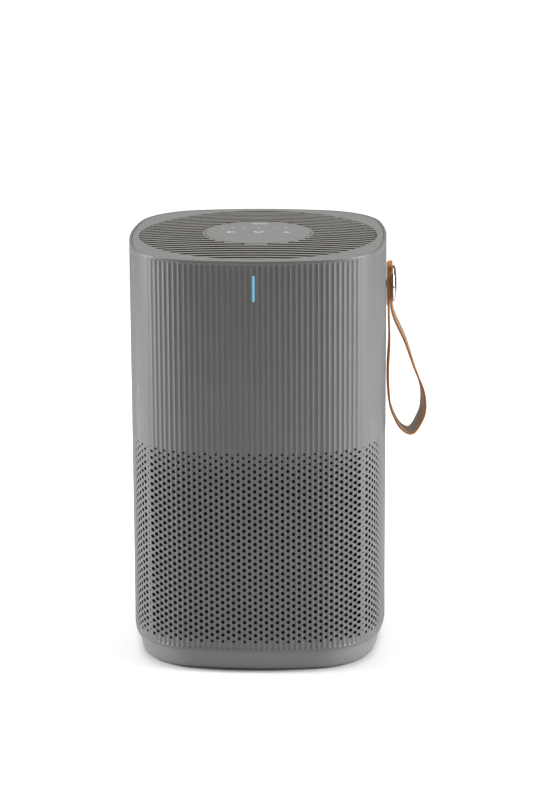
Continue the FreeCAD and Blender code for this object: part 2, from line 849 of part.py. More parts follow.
def control_board():
    return disc(disc_radius - pod_wall - fit_gap, control_board_z, control_board_z + board_thickness)


def touch_pads():
    z0 = control_board_z + board_thickness
    return group([disc(pad_radius, z0, disc_z, Vector(i * icon_spacing, 0, 0)) for i in (-1, 0, 1)])


def housing_screws():
    length = Vector(0, 0, pod_flange + 3)
    return group([screw(p, p + length, head_radius=2.3, head=1.6)
                  for p in pod_screw_points(hub_z - pod_flange)])


# ---------------------------------------------------------------- front light
def status_light():
    """Light guide: a bar in the shell's slot, with a flange behind the wall."""
    face_y = -(half_width - flute_depth) - 0.1
    bar = stadium(light_width, light_length, face_y, light_back_y, light_z)
    half = light_length / 2 + light_margin
    flange = block(-4, 4, light_flange_y, light_flange_y + 1.2, light_z - half, light_z + half)
    return joined([bar, flange])


def status_light_board():
    half = light_length / 2 + light_margin
    return block(-5, 5, light_back_y, light_back_y + light_board_thickness, light_z - half, light_z + half)


# ---------------------------------------------------------------- strap
def upright(x0, x1, z0, z1):
    """Strap-wide block."""
    return block(x0, x1, -strap_width / 2, strap_width / 2, z0, z1)


def along_x(radius, x0, x1):
    return Part.makeCylinder(radius, x1 - x0, Vector(x0, 0, button_z), Vector(1, 0, 0))


def strap_stack():
    layers = upright(stack_x, stack_front, strap_root_z, rim_z - strap_top_drop)
    return layers.cut(along_x(stud_radius + screw_gap, stack_x, stack_front))


def strap_patch():
    top = rim_z - strap_top_drop - 1
    patch = upright(half_width + fit_gap, stack_x, strap_root_z + 1, top)
    return patch.cut(along_x(stud_radius + screw_gap, half_width, stack_x))


def strap_loop():
    """Leather band bent along its centre line, from the front layer round to the back layer."""
    middle_x = stack_x + strap_thickness
    line = [Vector(middle_x + out, 0, strap_root_z - down) for out, down in loop_points]
    line[0].x = middle_x + (strap_thickness + strap_slit) / 2
    line[-1].x = middle_x - (strap_thickness + strap_slit) / 2
    curve = Part.BSplineCurve()
    curve.interpolate(Points=line, InitialTangent=Vector(0, 0, -1), FinalTangent=Vector(0, 0, 1))
    samples = 48
    span = curve.LastParameter - curve.FirstParameter
    values = [curve.FirstParameter + span * i / samples for i in range(samples + 1)]
    sides = []
    for offset in (-strap_thickness / 2, strap_thickness / 2):
        points = []
        for value in values:
            tangent = curve.tangent(value)[0]
            points.append(curve.value(value) + Vector(tangent.z, 0, -tangent.x) * offset)
        side = Part.BSplineCurve()
        side.interpolate(Points=points, InitialTangent=Vector(0, 0, -1), FinalTangent=Vector(0, 0, 1))
        sides.append(side)
    outer, inner = sides
    start = Part.makeLine(outer.value(outer.FirstParameter), inner.value(inner.FirstParameter))
    end = Part.makeLine(outer.value(outer.LastParameter), inner.value(inner.LastParameter))
    wire = Part.Wire([outer.toShape(), end, inner.toShape(), start])
    band = Part.Face(wire).extrude(Vector(0, strap_width, 0))
    band.translate(Vector(0, -strap_width / 2, 0))
    return band


def strap_button():
    back = stack_front + 2 * screw_gap
    front = back + button_thickness
    body = along_x(button_radius, back, front)
    rim = [e for e in body.Edges if abs(e.CenterOfMass.x - front) < 0.01]
    rounded = body.makeFillet(button_round, rim)
    return rounded.cut(along_x(stud_radius + screw_gap, back, front - button_cap))


def strap_stud():
    inner = inner_half - wall_relief - washer_thickness - strap_nut_height - 1
    return along_x(stud_radius, inner, stack_front + button_thickness - button_cap)


def strap_washer():
    outer = inner_half - wall_relief
    ring = along_x(washer_radius, outer - washer_thickness, outer)
    return ring.cut(along_x(stud_radius + screw_gap, outer - washer_thickness, outer))


def strap_nut():
    outer = inner_half - wall_relief - washer_thickness
    x0 = outer - strap_nut_height
    flat = [turned(Vector(strap_nut_corner, 0, 0), 60 * i) for i in range(7)]
    corners = [Vector(x0, p.x, button_z + p.y) for p in flat]
    nut = Part.Face(Part.makePolygon(corners)).extrude(Vector(strap_nut_height, 0, 0))
    return nut.cut(along_x(stud_radius + screw_gap, x0, outer))


# ---------------------------------------------------------------- assembly
for maker in (outer_shell, base_plinth, foot_ring, base_screws, power_inlet,
              fan_deck, inlet_bell, board_rails, inlet_guard,
              guard_ring_inner, guard_ring_middle, guard_ring_outer, guard_spokes,
              fan_duct, duct_riser, duct_collar,
              deck_screws, ring_screws,
              motor_bracket, bracket_screws, motor_cover, motor_stator, motor_board,
              rotor_can, rotor_magnets, impeller, impeller_shroud, impeller_nut, motor_shaft, shaft_clip,
              filter_seal, filter_pull_tab, filter_door,
              main_board, board_screws, board_components, particle_sensor,
              top_ring, outlet_grille, control_disc, control_housing, control_board,
              touch_pads, housing_screws, status_light, status_light_board,
              strap_stack, strap_patch, strap_loop, strap_button, strap_stud, strap_washer, strap_nut):
    keep(maker.__name__, maker())

for index, corner in enumerate(("rear_right", "rear_left", "front_left", "front_right")):
    keep("frame_post_" + corner, frame_post(index))

keep("bearing_tube", tube(tube_bore, tube_radius, tube_z, bracket_top))
keep("lower_bearing", bearing(lower_bearing_z))
keep("upper_bearing", bearing(upper_bearing_z))

keep("filter_media", ring_between(media_inner, filter_radius - mesh_thickness - 2 * fit_gap))
keep("carbon_layer", ring_between(media_inner - fit_gap - carbon_thickness, media_inner - fit_gap))
keep("prefilter_mesh", ring_between(filter_radius - mesh_thickness, filter_radius))
keep("filter_bottom_cap", tube(filter_core, filter_radius, filter_z, filter_z + end_cap))
keep("filter_top_cap", tube(filter_core, filter_radius, filter_top_z - end_cap, filter_top_z))

os.makedirs("parts", exist_ok=True)
for name, shape in parts.items():
    solids = shape.Solids
    if not solids or not all(s.isValid() and s.Volume > 0 for s in solids):
        raise ValueError(name + " isn't a sound solid")
    shape.exportStep("parts/" + name + ".step")
    box = shape.BoundBox
    print(f"{name:22s} {len(solids):3d} solids {shape.Volume / 1000:9.2f} cm3"
          f"  x {box.XMin:7.1f} {box.XMax:7.1f}  y {box.YMin:7.1f} {box.YMax:7.1f}"
          f"  z {box.ZMin:7.1f} {box.ZMax:7.1f}")
print(len(parts), "nodes")
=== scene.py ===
# Tabletop air purifier: fluted, perforated shell on a stepped base, slatted outlet, leather carrying strap.
# Shapes are worked out in millimetres and put into the meshes in metres.
import json
import math

import bpy
import numpy as np
from mathutils import Matrix, Vector


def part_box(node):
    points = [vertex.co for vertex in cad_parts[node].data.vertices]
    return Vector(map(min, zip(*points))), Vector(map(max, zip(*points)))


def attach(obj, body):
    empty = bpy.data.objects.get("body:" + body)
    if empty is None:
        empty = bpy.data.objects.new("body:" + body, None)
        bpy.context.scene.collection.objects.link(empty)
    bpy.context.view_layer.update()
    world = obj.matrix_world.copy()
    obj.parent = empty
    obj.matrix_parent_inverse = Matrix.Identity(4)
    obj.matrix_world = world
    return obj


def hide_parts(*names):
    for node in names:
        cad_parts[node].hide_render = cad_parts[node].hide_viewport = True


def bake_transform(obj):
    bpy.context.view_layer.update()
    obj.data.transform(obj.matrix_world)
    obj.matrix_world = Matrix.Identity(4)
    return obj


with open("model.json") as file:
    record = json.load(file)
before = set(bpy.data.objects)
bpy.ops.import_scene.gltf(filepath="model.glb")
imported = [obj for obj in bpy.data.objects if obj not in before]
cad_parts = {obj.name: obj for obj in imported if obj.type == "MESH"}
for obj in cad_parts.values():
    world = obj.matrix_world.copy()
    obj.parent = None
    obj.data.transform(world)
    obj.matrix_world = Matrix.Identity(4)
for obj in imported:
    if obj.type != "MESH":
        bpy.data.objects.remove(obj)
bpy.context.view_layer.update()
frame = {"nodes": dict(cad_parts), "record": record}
print("frame loaded:", len(frame["nodes"]), "nodes")

millimetre = 0.001
weldScale = 1000.37   # points that agree after this scale and rounding are one
slotOf = {part["node"]: part["material_slot"] for part in frame["record"]["subparts"]}


def cadBox(node):  # lowest and highest corner of a CAD node, in millimetres
    low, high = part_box(node)
    return np.array(low) / millimetre, np.array(high) / millimetre


view = {
    "eye": (0.0979, -2.5298, 0.8859),
    "forward": (-0.034944, 0.965551, -0.257857),
    "right": (0.999381, 0.034800, -0.005122),
    "lens": 136.73,
}


def makeCamera():
    forward, right = Vector(view["forward"]).normalized(), Vector(view["right"]).normalized()
    up = right.cross(forward).normalized()
    data = bpy.data.cameras.new("camera")
    data.lens = view["lens"]
    data.sensor_width = 36.0
    data.clip_start, data.clip_end = 0.05, 60.0
    camera = bpy.data.objects.new("camera", data)
    bpy.context.collection.objects.link(camera)
    axes = Matrix((right, up, -forward)).transposed()
    camera.matrix_world = Matrix.Translation(Vector(view["eye"])) @ axes.to_4x4()
    bpy.context.scene.camera = camera


lamps = {  # place, what it looks at, width and height in metres, watts
    "leftBox": ((-2.09, 0.02, 0.9), (0, 0, 0.2), (0.9, 1.9), 80),
    "rightBox": ((2.09, -0.22, 0.9), (0, 0, 0.2), (0.8, 1.9), 88),
    "topBox": ((0.0, 0.3, 2.3), (0, 0, 0.3), (1.8, 1.6), 60),
    "frontFill": ((-0.3, -3.0, 1.3), (0, 0, 0.2), (1.2, 1.2), 5),
}
sky = {"seen": 1.1, "light": 0.2}
floorLook = {"radius": 1.3, "colour": (0.74, 0.74, 0.74), "roughness": 0.9}


def makeLamps():
    for name, (place, target, size, watts) in lamps.items():
        data = bpy.data.lights.new(name, "AREA")
        data.shape = "RECTANGLE"
        data.size, data.size_y = size
        data.energy = watts
        lamp = bpy.data.objects.new(name, data)
        bpy.context.collection.objects.link(lamp)
        lamp.location = place
        lamp.rotation_euler = (Vector(target) - Vector(place)).to_track_quat("-Z", "Y").to_euler()


def makeSky():  # white where it is seen, dimmer where it lights
    world = bpy.data.worlds.new("sky")
    bpy.context.scene.world = world
    world.use_nodes = True
    tree = world.node_tree
    tree.nodes.clear()
    out = tree.nodes.new("ShaderNodeOutputWorld")
    mix = tree.nodes.new("ShaderNodeMixShader")
    path = tree.nodes.new("ShaderNodeLightPath")
    for index, strength in enumerate((sky["light"], sky["seen"])):
        glow = tree.nodes.new("ShaderNodeBackground")
        glow.inputs["Color"].default_value = (1, 1, 1, 1)
        glow.inputs["Strength"].default_value = strength
        tree.links.new(glow.outputs[0], mix.inputs[1 + index])
    tree.links.new(path.outputs["Is Camera Ray"], mix.inputs[0])
    tree.links.new(mix.outputs[0], out.inputs[0])
    bpy.context.scene.view_settings.view_transform = "Standard"


def weld(points):  # which points to keep, and where each point has gone
    keys = np.round(points * weldScale).astype(np.int64)
    _, first, same = np.unique(keys, axis=0, return_index=True, return_inverse=True)
    return first, same.reshape(-1)


def meshOf(name, points, quads, finishes, faceFinish=None, smoothAngle=None, sharpPairs=None):
    # equal points become one, and a quad with a doubled corner becomes a triangle
    first, same = weld(points)
    points, quads = points[first], same[quads]
    doubled = quads == np.roll(quads, -1, axis=1)
    crossed = (quads[:, 0] == quads[:, 2]) | (quads[:, 1] == quads[:, 3])
    good = (doubled.sum(axis=1) <= 1) & ~crossed
    quads, doubled = quads[good], doubled[good]
    counts = np.where(doubled.any(axis=1), 3, 4)
    corners = quads[~doubled]
    starts = np.concatenate(([0], np.cumsum(counts)[:-1]))
    mesh = bpy.data.meshes.new(name)
    mesh.vertices.add(len(points))
    mesh.vertices.foreach_set("co", (points * millimetre).astype(np.float32).ravel())
    mesh.loops.add(len(corners))
    mesh.loops.foreach_set("vertex_index", corners.astype(np.int32))
    mesh.polygons.add(len(counts))
    mesh.polygons.foreach_set("loop_start", starts.astype(np.int32))
    mesh.polygons.foreach_set("use_smooth", np.ones(len(counts), dtype=bool))
    for finish in finishes:
        mesh.materials.append(finish)
    if faceFinish is not None:
        mesh.polygons.foreach_set("material_index", faceFinish[good].astype(np.int32))
    mesh.update(calc_edges=True)
    if sharpPairs is not None:
        pairs = np.empty(2 * len(mesh.edges), dtype=np.int32)
        mesh.edges.foreach_get("vertices", pairs)
        pairs = np.sort(pairs.reshape(-1, 2).astype(np.int64), axis=1)
        marked = np.sort(same[sharpPairs].astype(np.int64), axis=1)
        size = len(points)
        sharp = np.isin(pairs[:, 0] * size + pairs[:, 1], marked[:, 0] * size + marked[:, 1])
        mesh.edges.foreach_set("use_edge_sharp", sharp)
    if smoothAngle is not None:
        mesh.set_sharp_from_angle(angle=math.radians(smoothAngle))
    return mesh


def outward(points, quads):  # turns a closed shape whose signed volume is negative
    a, b, c, d = (points[quads[:, i]] for i in range(4))
    volume = sum(np.einsum("ij,ij->i", a, np.cross(m, n)).sum() for m, n in ((b, c), (c, d)))
    return quads if volume > 0 else quads[:, ::-1]


def gridQuads(rows, columns, aroundRows=False, aroundColumns=False):
    # four neighbours of each cell in a grid of rows by columns, which may close on itself
    r = np.arange(rows if aroundRows else rows - 1)[:, None]
    c = np.arange(columns if aroundColumns else columns - 1)[None, :]
    r1, c1 = (r + 1) % rows, (c + 1) % columns
    return np.stack([r * columns + c, r * columns + c1, r1 * columns + c1, r1 * columns + c], -1).reshape(-1, 4)


def join(parts):  # one shape from several (points, quads)
    points, quads, count = [], [], 0
    for p, q in parts:
        points.append(p)
        quads.append(q + count)
        count += len(p)
    return np.concatenate(points), np.concatenate(quads)


def place(mesh, name, body, slot, replaced=()):
    piece = bpy.data.objects.new(name, mesh)
    bpy.context.collection.objects.link(piece)
    if body:
        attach(piece, body)
    if replaced:
        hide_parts(*replaced)
    return piece


def spun(profile, count, ring=False):
    # a profile of (radius, height) turned about Z: closed by radius 0 at both ends, or a ring of its own
    turn = np.linspace(0, 2 * math.pi, count, endpoint=False)
    radius, height = np.array(profile, dtype=float).T
    x, y = radius[:, None] * np.cos(turn), radius[:, None] * np.sin(turn)
    points = np.stack([x, y, np.broadcast_to(height[:, None], x.shape)], -1).reshape(-1, 3)
    quads = gridQuads(len(radius), count, aroundRows=ring, aroundColumns=True)
    return points, outward(points, quads)


def grey(value, warmth=0.0):
    return (value * (1 + warmth), value, value * (1 - 1.6 * warmth))


class Tree:  # short ways to add and join shader nodes
    def __init__(self, name):
        self.material = bpy.data.materials.new(name)
        self.material.use_nodes = True
        self.nodes, self.links = self.material.node_tree.nodes, self.material.node_tree.links
        self.shader = self.nodes["Principled BSDF"]
        self.where = self.nodes.new("ShaderNodeTexCoord").outputs["Object"]

    def add(self, kind, values=None, sockets=None, **wires):
        node = self.nodes.new("ShaderNode" + kind)
        for key, value in (values or {}).items():
            setattr(node, key, value)
        for key, value in (sockets or {}).items():
            node.inputs[key].default_value = value
        for key, wire in wires.items():
            self.links.new(wire, node.inputs[key])
        return node

    def noise(self, scale, detail=3.0, rough=0.55):
        sockets = {"Scale": scale, "Detail": detail, "Roughness": rough}
        return self.add("TexNoise", None, sockets, Vector=self.where).outputs["Fac"]

    def cells(self, scale, feature="F1"):
        node = self.add("TexVoronoi", {"feature": feature}, {"Scale": scale}, Vector=self.where)
        return node.outputs["Distance"]

    def waves(self, scale, direction, distortion=0.0):
        values = {"wave_type": "BANDS", "bands_direction": direction}
        sockets = {"Scale": scale, "Distortion": distortion, "Detail": 1.0}
        return self.add("TexWave", values, sockets, Vector=self.where).outputs["Fac"]

    def remap(self, wire, low, high, fromLow=0.0, fromHigh=1.0):
        sockets = {"From Min": fromLow, "From Max": fromHigh, "To Min": low, "To Max": high}
        return self.add("MapRange", None, sockets, Value=wire).outputs["Result"]

    def maths(self, operation, a, b):
        node = self.add("Math", {"operation": operation})
        for index, value in enumerate((a, b)):
            if isinstance(value, (int, float)):
                node.inputs[index].default_value = value
            else:
                self.links.new(value, node.inputs[index])
        return node.outputs[0]

    def colours(self, wire, stops):  # a ramp between (position, colour) stops
        node = self.add("ValToRGB", Fac=wire)
        ramp = node.color_ramp
        while len(ramp.elements) < len(stops):
            ramp.elements.new(0.5)
        for element, (position, colour) in zip(ramp.elements, stops):
            element.position = position
            element.color = (*colour, 1.0)
        return node.outputs["Color"]

    def bump(self, wire, depth, strength=1.0, under=None):
        node = self.add("Bump", None, {"Distance": depth, "Strength": strength}, Height=wire)
        if under is not None:
            self.links.new(under, node.inputs["Normal"])
        return node.outputs["Normal"]

    def join(self, **wires):
        for key, wire in wires.items():
            self.links.new(wire, self.shader.inputs[key.replace("_", " ")])

    def fix(self, **values):
        for key, value in values.items():
            self.shader.inputs[key.replace("_", " ")].default_value = value


def plasticFinish(name, colour, vary, grain=2600.0, grainDepth=2.2e-5, roughness=0.45, roughVary=0.06, gloss=0.5):
    # moulded plastic: soft tone drift, fine spark texture and uneven roughness
    tree = Tree(name)
    drift = tree.noise(35.0, 4.0)
    dark = tuple(v * (1 - vary) for v in colour)
    light = tuple(v * (1 + vary) for v in colour)
    tree.join(Base_Color=tree.colours(drift, [(0.3, dark), (0.7, light)]))
    spark = tree.noise(grain, 2.0, 0.6)
    tree.join(Normal=tree.bump(spark, grainDepth, 0.55))
    tree.join(Roughness=tree.remap(tree.noise(180.0, 3.0), roughness - roughVary, roughness + roughVary, 0.3, 0.7))
    tree.fix(Specular_IOR_Level=gloss)
    return tree.material


def metalFinish(name, colour, roughness=0.25, brushed=0.0, tarnish=0.1, edge=1.0):
    # metal: faint smudges in tone and gloss, with brushed lines where asked for
    tree = Tree(name)
    smudge = tree.noise(90.0, 5.0)
    dull = tuple(v * (1 - tarnish) for v in colour)
    tree.join(Base_Color=tree.colours(smudge, [(0.35, dull), (0.65, colour)]))
    tree.join(Roughness=tree.remap(smudge, roughness * 0.7, roughness * 1.3, 0.3, 0.7))
    lines = tree.waves(900.0, "Z", distortion=2.0) if brushed else tree.noise(700.0, 3.0)
    tree.join(Normal=tree.bump(lines, 6e-6, 0.15 + brushed))
    tree.fix(Metallic=1.0, Specular_Tint=(edge, edge * 0.96, edge, 1.0))
    return tree.material


def rubberFinish(name, colour):
    tree = Tree(name)
    dust = tree.noise(120.0, 5.0, 0.65)
    tree.join(Base_Color=tree.colours(dust, [(0.35, colour), (0.8, tuple(v * 1.8 for v in colour))]))
    tree.join(Roughness=tree.remap(dust, 0.6, 0.85), Normal=tree.bump(tree.noise(1800.0), 3e-5, 0.5))
    return tree.material


def leatherFinish(name, dark, colour, light, pebble=900.0, depth=9e-5, roughness=0.5, sheen=0.0, gloss=0.5):
    # leather: pebbled grain from cell borders, creases across it and tone that drifts with wear; the colour is a little
    # darker at the pebble borders, painted shade in the grain's hollows
    tree = Tree(name)
    pebbles = tree.cells(pebble, "DISTANCE_TO_EDGE")
    borders = tree.remap(pebbles, 0.0, 1.0, 0.0, 0.22)
    crease = tree.noise(260.0, 6.0, 0.7)
    drift = tree.noise(42.0, 5.0, 0.6)
    blend = tree.maths("MULTIPLY_ADD", drift, 0.8)
    tree.links.new(tree.maths("MULTIPLY", borders, 0.2), blend.node.inputs[2])
    tree.join(Base_Color=tree.colours(blend, [(0.3, dark), (0.52, colour), (0.78, light)]))
    coarse = tree.bump(crease, depth * 1.3, 0.5)
    tree.join(Normal=tree.bump(borders, depth, 0.55, coarse))
    tree.join(Roughness=tree.remap(crease, roughness - 0.08, roughness + 0.14, 0.3, 0.7))
    tree.fix(Sheen_Weight=sheen, Sheen_Roughness=0.5, Specular_IOR_Level=gloss)
    return tree.material


def weaveFinish(name, dark, light, pitch, depth=1.2e-4, roughness=0.8):
    # woven net or ribbon: two crossed sets of threads, dark between them as painted shade in the gaps of the weave
    tree = Tree(name)
    scale = 0.0314 / pitch * 10
    warp, weft = tree.waves(scale, "Z"), tree.waves(scale, "DIAGONAL")
    threads = tree.maths("MAXIMUM", warp, weft)
    tree.join(Base_Color=tree.colours(threads, [(0.35, dark), (0.85, light)]))
    tree.join(Normal=tree.bump(threads, depth, 0.7))
    tree.join(Roughness=tree.remap(threads, roughness + 0.1, roughness - 0.1))
    return tree.material


def mediaFinish(name, pleats=140):
    # pleated paper: a sine of the angle about the upright axis times the pleats, fine fibres over it; the colour
    # darkens into each pleat's valley as painted shade
    tree = Tree(name)
    split = tree.add("SeparateXYZ", Vector=tree.where)
    angle = tree.maths("ARCTAN2", split.outputs["Y"], split.outputs["X"])
    fold = tree.maths("SINE", tree.maths("MULTIPLY", angle, float(pleats)), 0.0)
    ridge = tree.remap(fold, 0.0, 1.0, -1.0, 1.0)
    tree.join(Base_Color=tree.colours(ridge, [(0.0, (0.42, 0.43, 0.42)), (0.6, (0.86, 0.86, 0.84))]))
    fibre = tree.bump(tree.noise(1500.0, 5.0, 0.7), 4e-5, 0.6)
    tree.join(Normal=tree.bump(ridge, 9e-4, 0.8, fibre))
    tree.fix(Roughness=0.9)
    return tree.material


# granules are painted darker towards their borders: painted shade between the granules
def carbonFinish(name):  # pressed granules: dark cells, each with its own gloss
    tree = Tree(name)
    grains = tree.cells(750.0)
    tree.join(Base_Color=tree.colours(grains, [(0.1, (0.035, 0.035, 0.036)), (0.6, (0.006, 0.006, 0.007))]))
    tree.join(Roughness=tree.remap(grains, 0.35, 0.85), Normal=tree.bump(grains, 5e-4, -0.8))
    return tree.material


def boardFinish(name):  # green laminate: lighter tracks where coarse cells meet, pale dots
    tree = Tree(name)
    tracks = tree.cells(140.0, "DISTANCE_TO_EDGE")
    lines = tree.colours(tracks, [(0.02, (0.05, 0.24, 0.11)), (0.06, (0.012, 0.085, 0.035))])
    tree.join(Base_Color=lines, Normal=tree.bump(tracks, 3e-5, -0.4))
    tree.join(Roughness=tree.remap(tree.noise(400.0), 0.28, 0.5))
    return tree.material


# the copper is painted darker in the grooves between turns: painted shade
def windingFinish(name):  # enamelled wire: fine even turns of copper
    tree = Tree(name)
    turns = tree.waves(420.0, "Z", distortion=0.4)
    tree.join(Base_Color=tree.colours(turns, [(0.2, (0.18, 0.05, 0.02)), (0.8, (0.72, 0.3, 0.14))]))
    tree.join(Normal=tree.bump(turns, 1.5e-4, 0.8), Roughness=tree.remap(turns, 0.45, 0.25))
    tree.fix(Metallic=0.8)
    return tree.material


def glowFinish(name, colour, strength):
    # frosted light guide: full glow along its middle, fading with the distance from it to dark edges
    tree = Tree(name)
    frost = tree.noise(1600.0, 2.0)
    dim, duller, dull = (tuple(v * share for v in colour) for share in (0.92, 0.2, 0.3))
    tree.join(Base_Color=tree.colours(frost, [(0.3, duller), (0.7, dull)]))
    aside = tree.maths("ABSOLUTE", tree.add("SeparateXYZ", Vector=tree.where).outputs["X"], 0.0)
    tree.join(Emission_Strength=tree.remap(aside, strength, 0.08 * strength, 0.0006, 0.0015))
    tree.join(Emission_Color=tree.colours(tree.noise(60.0), [(0.3, dim), (0.7, colour)]))
    tree.join(Normal=tree.bump(frost, 2e-5, 0.4))
    tree.fix(Roughness=0.5)
    return tree.material


shellTone, ringTone, grilleTone = grey(0.104, 0.022), grey(0.118, 0.022), grey(0.128, 0.045)
finishes = {
    "shell": plasticFinish("satinShell", shellTone, 0.035, roughness=0.42),
    # near-black inside of the shell and walls of its holes: painted shade, so the holes read dark
    "shellInsideShade": plasticFinish("shellInsideShade", grey(0.006), 0.2, roughness=0.9, roughVary=0.05, gloss=0.08),
    "trim": plasticFinish("satinRing", ringTone, 0.03, roughness=0.54, gloss=0.32),
    "grille": plasticFinish("grillePlastic", grilleTone, 0.05, roughness=0.56, gloss=0.3),
    # near-black finish for the slats' sides: painted shade in the gaps between the slats
    "grilleSideShade": plasticFinish("grilleSideShade", grey(0.012, 0.05), 0.2, roughness=0.7, gloss=0.2),
    "disc": plasticFinish("touchDisc", grey(0.12, 0.018), 0.02, grain=3200.0, grainDepth=3e-6, roughness=0.54,
                          roughVary=0.03, gloss=0.35),
    "icon": plasticFinish("printedWhite", grey(0.5, 0.01), 0.03, roughness=0.5),
    "light": glowFinish("lightGuide", (0.155, 0.37, 0.52), 1.15),
    "base": plasticFinish("baseMatt", grey(0.15, 0.02), 0.04, roughness=0.52),
    "rubber": rubberFinish("footRubber", (0.02, 0.02, 0.02)),
    "leather": leatherFinish("strapGrain", (0.15, 0.096, 0.06), (0.185, 0.125, 0.082), (0.235, 0.168, 0.117),
                             roughness=0.45),
    "leather_back": leatherFinish("strapSuede", (0.24, 0.17, 0.12), (0.33, 0.245, 0.18), (0.42, 0.325, 0.245),
                                  pebble=1900.0, depth=6e-5, roughness=0.82, sheen=0.25),
    "leatherEdge": leatherFinish("strapEdge", (0.2, 0.06, 0.008), (0.34, 0.12, 0.022), (0.46, 0.2, 0.05),
                                 pebble=2600.0, depth=4e-5, roughness=0.45, gloss=0.25),
    "chrome": metalFinish("polishedChrome", (0.66, 0.65, 0.64), 0.16, tarnish=0.06, edge=0.5),
    "steel": metalFinish("zincSteel", (0.55, 0.55, 0.54), 0.32, brushed=0.2),
    "inner_plastic": plasticFinish("innerBlack", grey(0.03, 0.02), 0.2, roughness=0.55),
    "fan_plastic": plasticFinish("fanPlastic", grey(0.045, 0.0), 0.15, roughness=0.4),
    "board": boardFinish("greenBoard"),
    "components": plasticFinish("componentBlack", grey(0.022), 0.3, grain=3500.0, roughness=0.4),
    "stator": windingFinish("copperWindings"),
    "magnet": metalFinish("nickelMagnet", (0.35, 0.35, 0.36), 0.4),
    "brass": metalFinish("turnedBrass", (0.75, 0.52, 0.22), 0.22, brushed=0.25),
    "media": mediaFinish("pleatedPaper"),
    "carbon": carbonFinish("carbonGranules"),
    "mesh": weaveFinish("prefilterNet", (0.006, 0.006, 0.006), (0.075, 0.075, 0.075), 1.6),
    "screen": weaveFinish("dustScreen", (0.002, 0.002, 0.002), (0.012, 0.012, 0.012), 0.8, roughness=0.9),
    "filter_cap": plasticFinish("capWhite", grey(0.68, 0.01), 0.04, roughness=0.55),
    "tab": weaveFinish("pullRibbon", (0.02, 0.1, 0.2), (0.09, 0.34, 0.56), 0.8),
}
print("finishes made:", len(finishes))


shellLow, shellHigh = cadBox("outer_shell")
outline = {"halfWidth": shellHigh[0], "sideRadius": 300.0, "cornerRadius": 61.0}
sideCentre = outline["sideRadius"] - outline["halfWidth"]
reach = outline["sideRadius"] - outline["cornerRadius"]
cornerCentre = (-sideCentre + math.sqrt(2 * reach ** 2 - sideCentre ** 2)) / 2
sideAngle = math.asin(cornerCentre / reach)
sideHalf = outline["sideRadius"] * sideAngle
quarter = 2 * sideHalf + outline["cornerRadius"] * (math.pi / 2 - 2 * sideAngle)


def planPoint(along, inset=0.0):
    # the outline at a length along it from the front's middle towards +X, moved in along its normal:
    # a wide arc, a corner arc and a wide arc in each quarter, turned by a quarter each time
    along = np.asarray(along, dtype=float)
    turns = np.floor(along / quarter + 1e-9)
    t = along - turns * quarter
    first, last = t < sideHalf, t > quarter - sideHalf
    angle = np.where(first, t / outline["sideRadius"],
                     np.where(last, math.pi / 2 - (quarter - t) / outline["sideRadius"],
                              sideAngle + (t - sideHalf) / outline["cornerRadius"]))
    radius = np.where(first | last, outline["sideRadius"], outline["cornerRadius"]) - inset
    cx = np.where(first, 0.0, np.where(last, -sideCentre, cornerCentre))
    cy = np.where(first, sideCentre, np.where(last, 0.0, -cornerCentre))
    x, y = cx + radius * np.sin(angle), cy - radius * np.cos(angle)
    c, s = np.round(np.cos(turns * math.pi / 2)), np.round(np.sin(turns * math.pi / 2))
    return c * x - s * y, s * x + c * y, angle + turns * math.pi / 2


shell = {
    "wall": 2.2, "flutesPerSide": 40, "fluteDepth": 0.7, "topBand": 2.1, "bottomBand": 1.8, "rimRound": 0.5,
    "holeTop": 191.8, "holeStep": 2.8776, "holeRows": 58, "holeRadius": 1.6, "longest": 1.38,
    "fadeTop": (0.33, 4.5), "fadeBottom": (0.22, 1.2),   # how much smaller the first holes are, over how many rows
    "slotWidth": 3.5, "slotLength": 22.1, "slotRows": (-14, -12, -10.7, -9.3, -5, 0, 5, 9.3, 10.7, 12, 14.0),
    "plainRows": (230.0, 275.0),                   # heights of the rows between the holes and the slot
    "drillColumn": 21, "seamHole": 0.5,            # holes run straight back as far as this column, which has small ones
    "smoothColumn": 22.3, "smoothReach": 2.7,      # flutes die out round each corner
}
perSide = shell["flutesPerSide"]
pitch = quarter / perSide
halfPitch = pitch / 2
fluteRadius = (halfPitch ** 2 + shell["fluteDepth"] ** 2) / (2 * shell["fluteDepth"])
across = halfPitch * np.array([-1, -0.82, -0.42, 0, 0.42, 0.82, 1])
lightLow, lightHigh = cadBox("status_light")
slotMiddle = (lightLow[2] + lightHigh[2]) / 2


def fluteInset(u, w=0.0):  # depth of a ball-ended groove: a sphere's cap over its chord, never below zero
    return np.maximum(np.sqrt(np.maximum(fluteRadius ** 2 - u ** 2 - w ** 2, 0))
                      - (fluteRadius - shell["fluteDepth"]), 0)


def column(u, z, inset=0.0, groove=0.0, ringU=0.0):
    # one row of sheet points: place across, ring place, height, inset, and whether the groove adds depth
    values = [np.asarray(v, dtype=float) for v in (u, z, inset, groove, ringU)]
    u, z, inset, groove, ringU = np.broadcast_arrays(*values)
    return np.stack([u, ringU, z, inset, groove], -1)


def bandRows(stations):  # plain rows of (inset, height)
    u = np.array([-halfPitch, 0, halfPitch])
    return np.stack([column(u, z, inset) for inset, z in stations])


def straightRows(heights):
    return np.stack([column(across, z, 0.0, 1.0) for z in heights])


